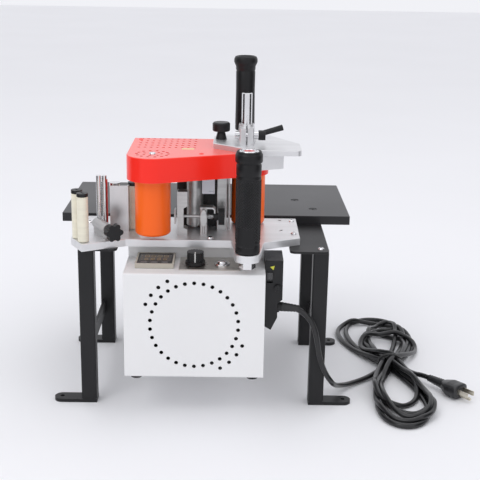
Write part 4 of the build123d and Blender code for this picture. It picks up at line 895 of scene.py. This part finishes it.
# ---- Speed dial
# A printed scale of even ticks on the brushed strip, and a white filled pointer line on the knob that
# runs over its top edge and down the ribs.
dial_x, dial_y = -0.010, -0.139
print_dark = surface("print_dark", (0.035, 0.033, 0.032), 0.5, tone=0.1, bump=0.02)
pointer_white = surface("pointer_white", (0.86, 0.86, 0.84), 0.45, tone=0.03, bump=0.05)
dial_ticks = bpy.data.objects.new("dial_ticks", bpy.data.meshes.new("dial_ticks"))
scene.collection.objects.link(dial_ticks)
tree, given, result = new_tree("dial_scale", [
    ("Tick Length", "NodeSocketFloat"), ("Tick Width", "NodeSocketFloat"), ("Dial Radius", "NodeSocketFloat"),
    ("Sweep", "NodeSocketFloat"), ("Ticks", "NodeSocketInt"),
])
row_of_dots = add_node(tree, "GeometryNodeMeshLine", Count=given.outputs["Ticks"])
count = add_node(tree, "GeometryNodeInputIndex").outputs[0]
share = math_node(tree, "DIVIDE", count, math_node(tree, "SUBTRACT", given.outputs["Ticks"], 1.0))
turn = math_node(tree, "MULTIPLY", math_node(tree, "SUBTRACT", share, 0.5), given.outputs["Sweep"])
turn = math_node(tree, "ADD", turn, math.pi / 2)
reach_x = math_node(tree, "MULTIPLY", math_node(tree, "COSINE", turn), given.outputs["Dial Radius"])
reach_y = math_node(tree, "MULTIPLY", math_node(tree, "SINE", turn), given.outputs["Dial Radius"])
spot = add_node(
    tree, "ShaderNodeCombineXYZ",
    X=math_node(tree, "ADD", reach_x, dial_x),
    Y=math_node(tree, "ADD", reach_y, dial_y),
    Z=0.19654,
).outputs[0]
dots = add_node(tree, "GeometryNodeMeshToPoints", Mesh=row_of_dots.outputs[0], Position=spot)
tick_size = add_node(tree, "ShaderNodeCombineXYZ", X=given.outputs["Tick Length"],
                     Y=given.outputs["Tick Width"], Z=0.00012)
tick = add_node(tree, "GeometryNodeMeshCube", Size=tick_size.outputs[0])
heading = add_node(tree, "ShaderNodeCombineXYZ", X=0.0, Y=0.0, Z=turn)
ticks = add_node(tree, "GeometryNodeInstanceOnPoints", Points=dots.outputs[0], Instance=tick.outputs[0],
                 Rotation=heading.outputs[0])
finish_tree(tree, ticks.outputs[0], result, print_dark, dial_ticks, {
    "Tick Length": 0.0022, "Tick Width": 0.00045, "Dial Radius": 0.0152, "Sweep": math.radians(300.0),
    "Ticks": 11,
})
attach(dial_ticks, "frame")
knob_pointer = box_mesh("knob_pointer", [
    ((dial_x - 0.0005, dial_y - 0.0104, 0.2126), (dial_x + 0.0005, dial_y - 0.0030, 0.21358)),
    ((dial_x - 0.0005, dial_y - 0.0109, 0.2020), (dial_x + 0.0005, dial_y - 0.0098, 0.2134)),
], pointer_white)
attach(knob_pointer, "speed_knob")

# ---- Plain labels and marks
# Thin vinyl patches without any marks: a straw-coloured one on the gear cover and a yellow triangle on
# the switch module.
label_straw = surface("label_straw", (0.86, 0.60, 0.30), 0.40, tone=0.04, bump=0.05)
label_yellow = surface("label_yellow", (0.62, 0.62, 0.05), 0.40, tone=0.04, bump=0.05)
cover_label = box_mesh("cover_label", [
    ((-0.0300, -0.0845, 0.33295), (-0.0140, -0.0755, 0.33315)),
], label_straw)
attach(cover_label, "frame")
module_label = lathe("module_label", [(0.0035, 0.0), (0.0035, 0.0002)], (0.0877, -0.15015, 0.1970), (0, 1, 0),
                     label_yellow, 3, smooth=False)
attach(module_label, "frame")

# ---- Wear strip
# Red anodised strip screwed upright beside the second guide post, where the tape's edge rubs.
strip_red = surface("strip_red", (0.66, 0.025, 0.02), 0.32, metallic=0.3, tone=0.1, bump=0.2,
                    bump_scale=900.0)
wear_strip = box_mesh("wear_strip", [((-0.1279, -0.0785, 0.2230), (-0.1270, -0.0735, 0.2905))], strip_red)
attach(wear_strip, "frame")

# ---- Return spring
# Six turns of bright spring wire on the cutter rod, between the bracket and the knob.
spring_wire = surface("spring_wire", (0.72, 0.72, 0.73), 0.2, metallic=1.0, tone=0.05, bump=0.05)
spring_turns, spring_steps = 6, 20
spring_points = []
for k in range(spring_turns * spring_steps + 1):
    angle = math.tau * k / spring_steps
    along = 0.0043 + 0.0066 * k / (spring_turns * spring_steps)
    spring_points.append((along, -0.092 + 0.0031 * math.cos(angle), 0.247 + 0.0031 * math.sin(angle)))
spring_line = spline_curve("spring_line", spring_points, 0.00042, spring_wire, 2)
ready = bpy.context.evaluated_depsgraph_get()
spring_mesh = bpy.data.meshes.new_from_object(spring_line.evaluated_get(ready))
bpy.data.objects.remove(spring_line)
return_spring = link_mesh("return_spring", spring_mesh, spring_wire)
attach(return_spring, "frame")
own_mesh(return_spring)
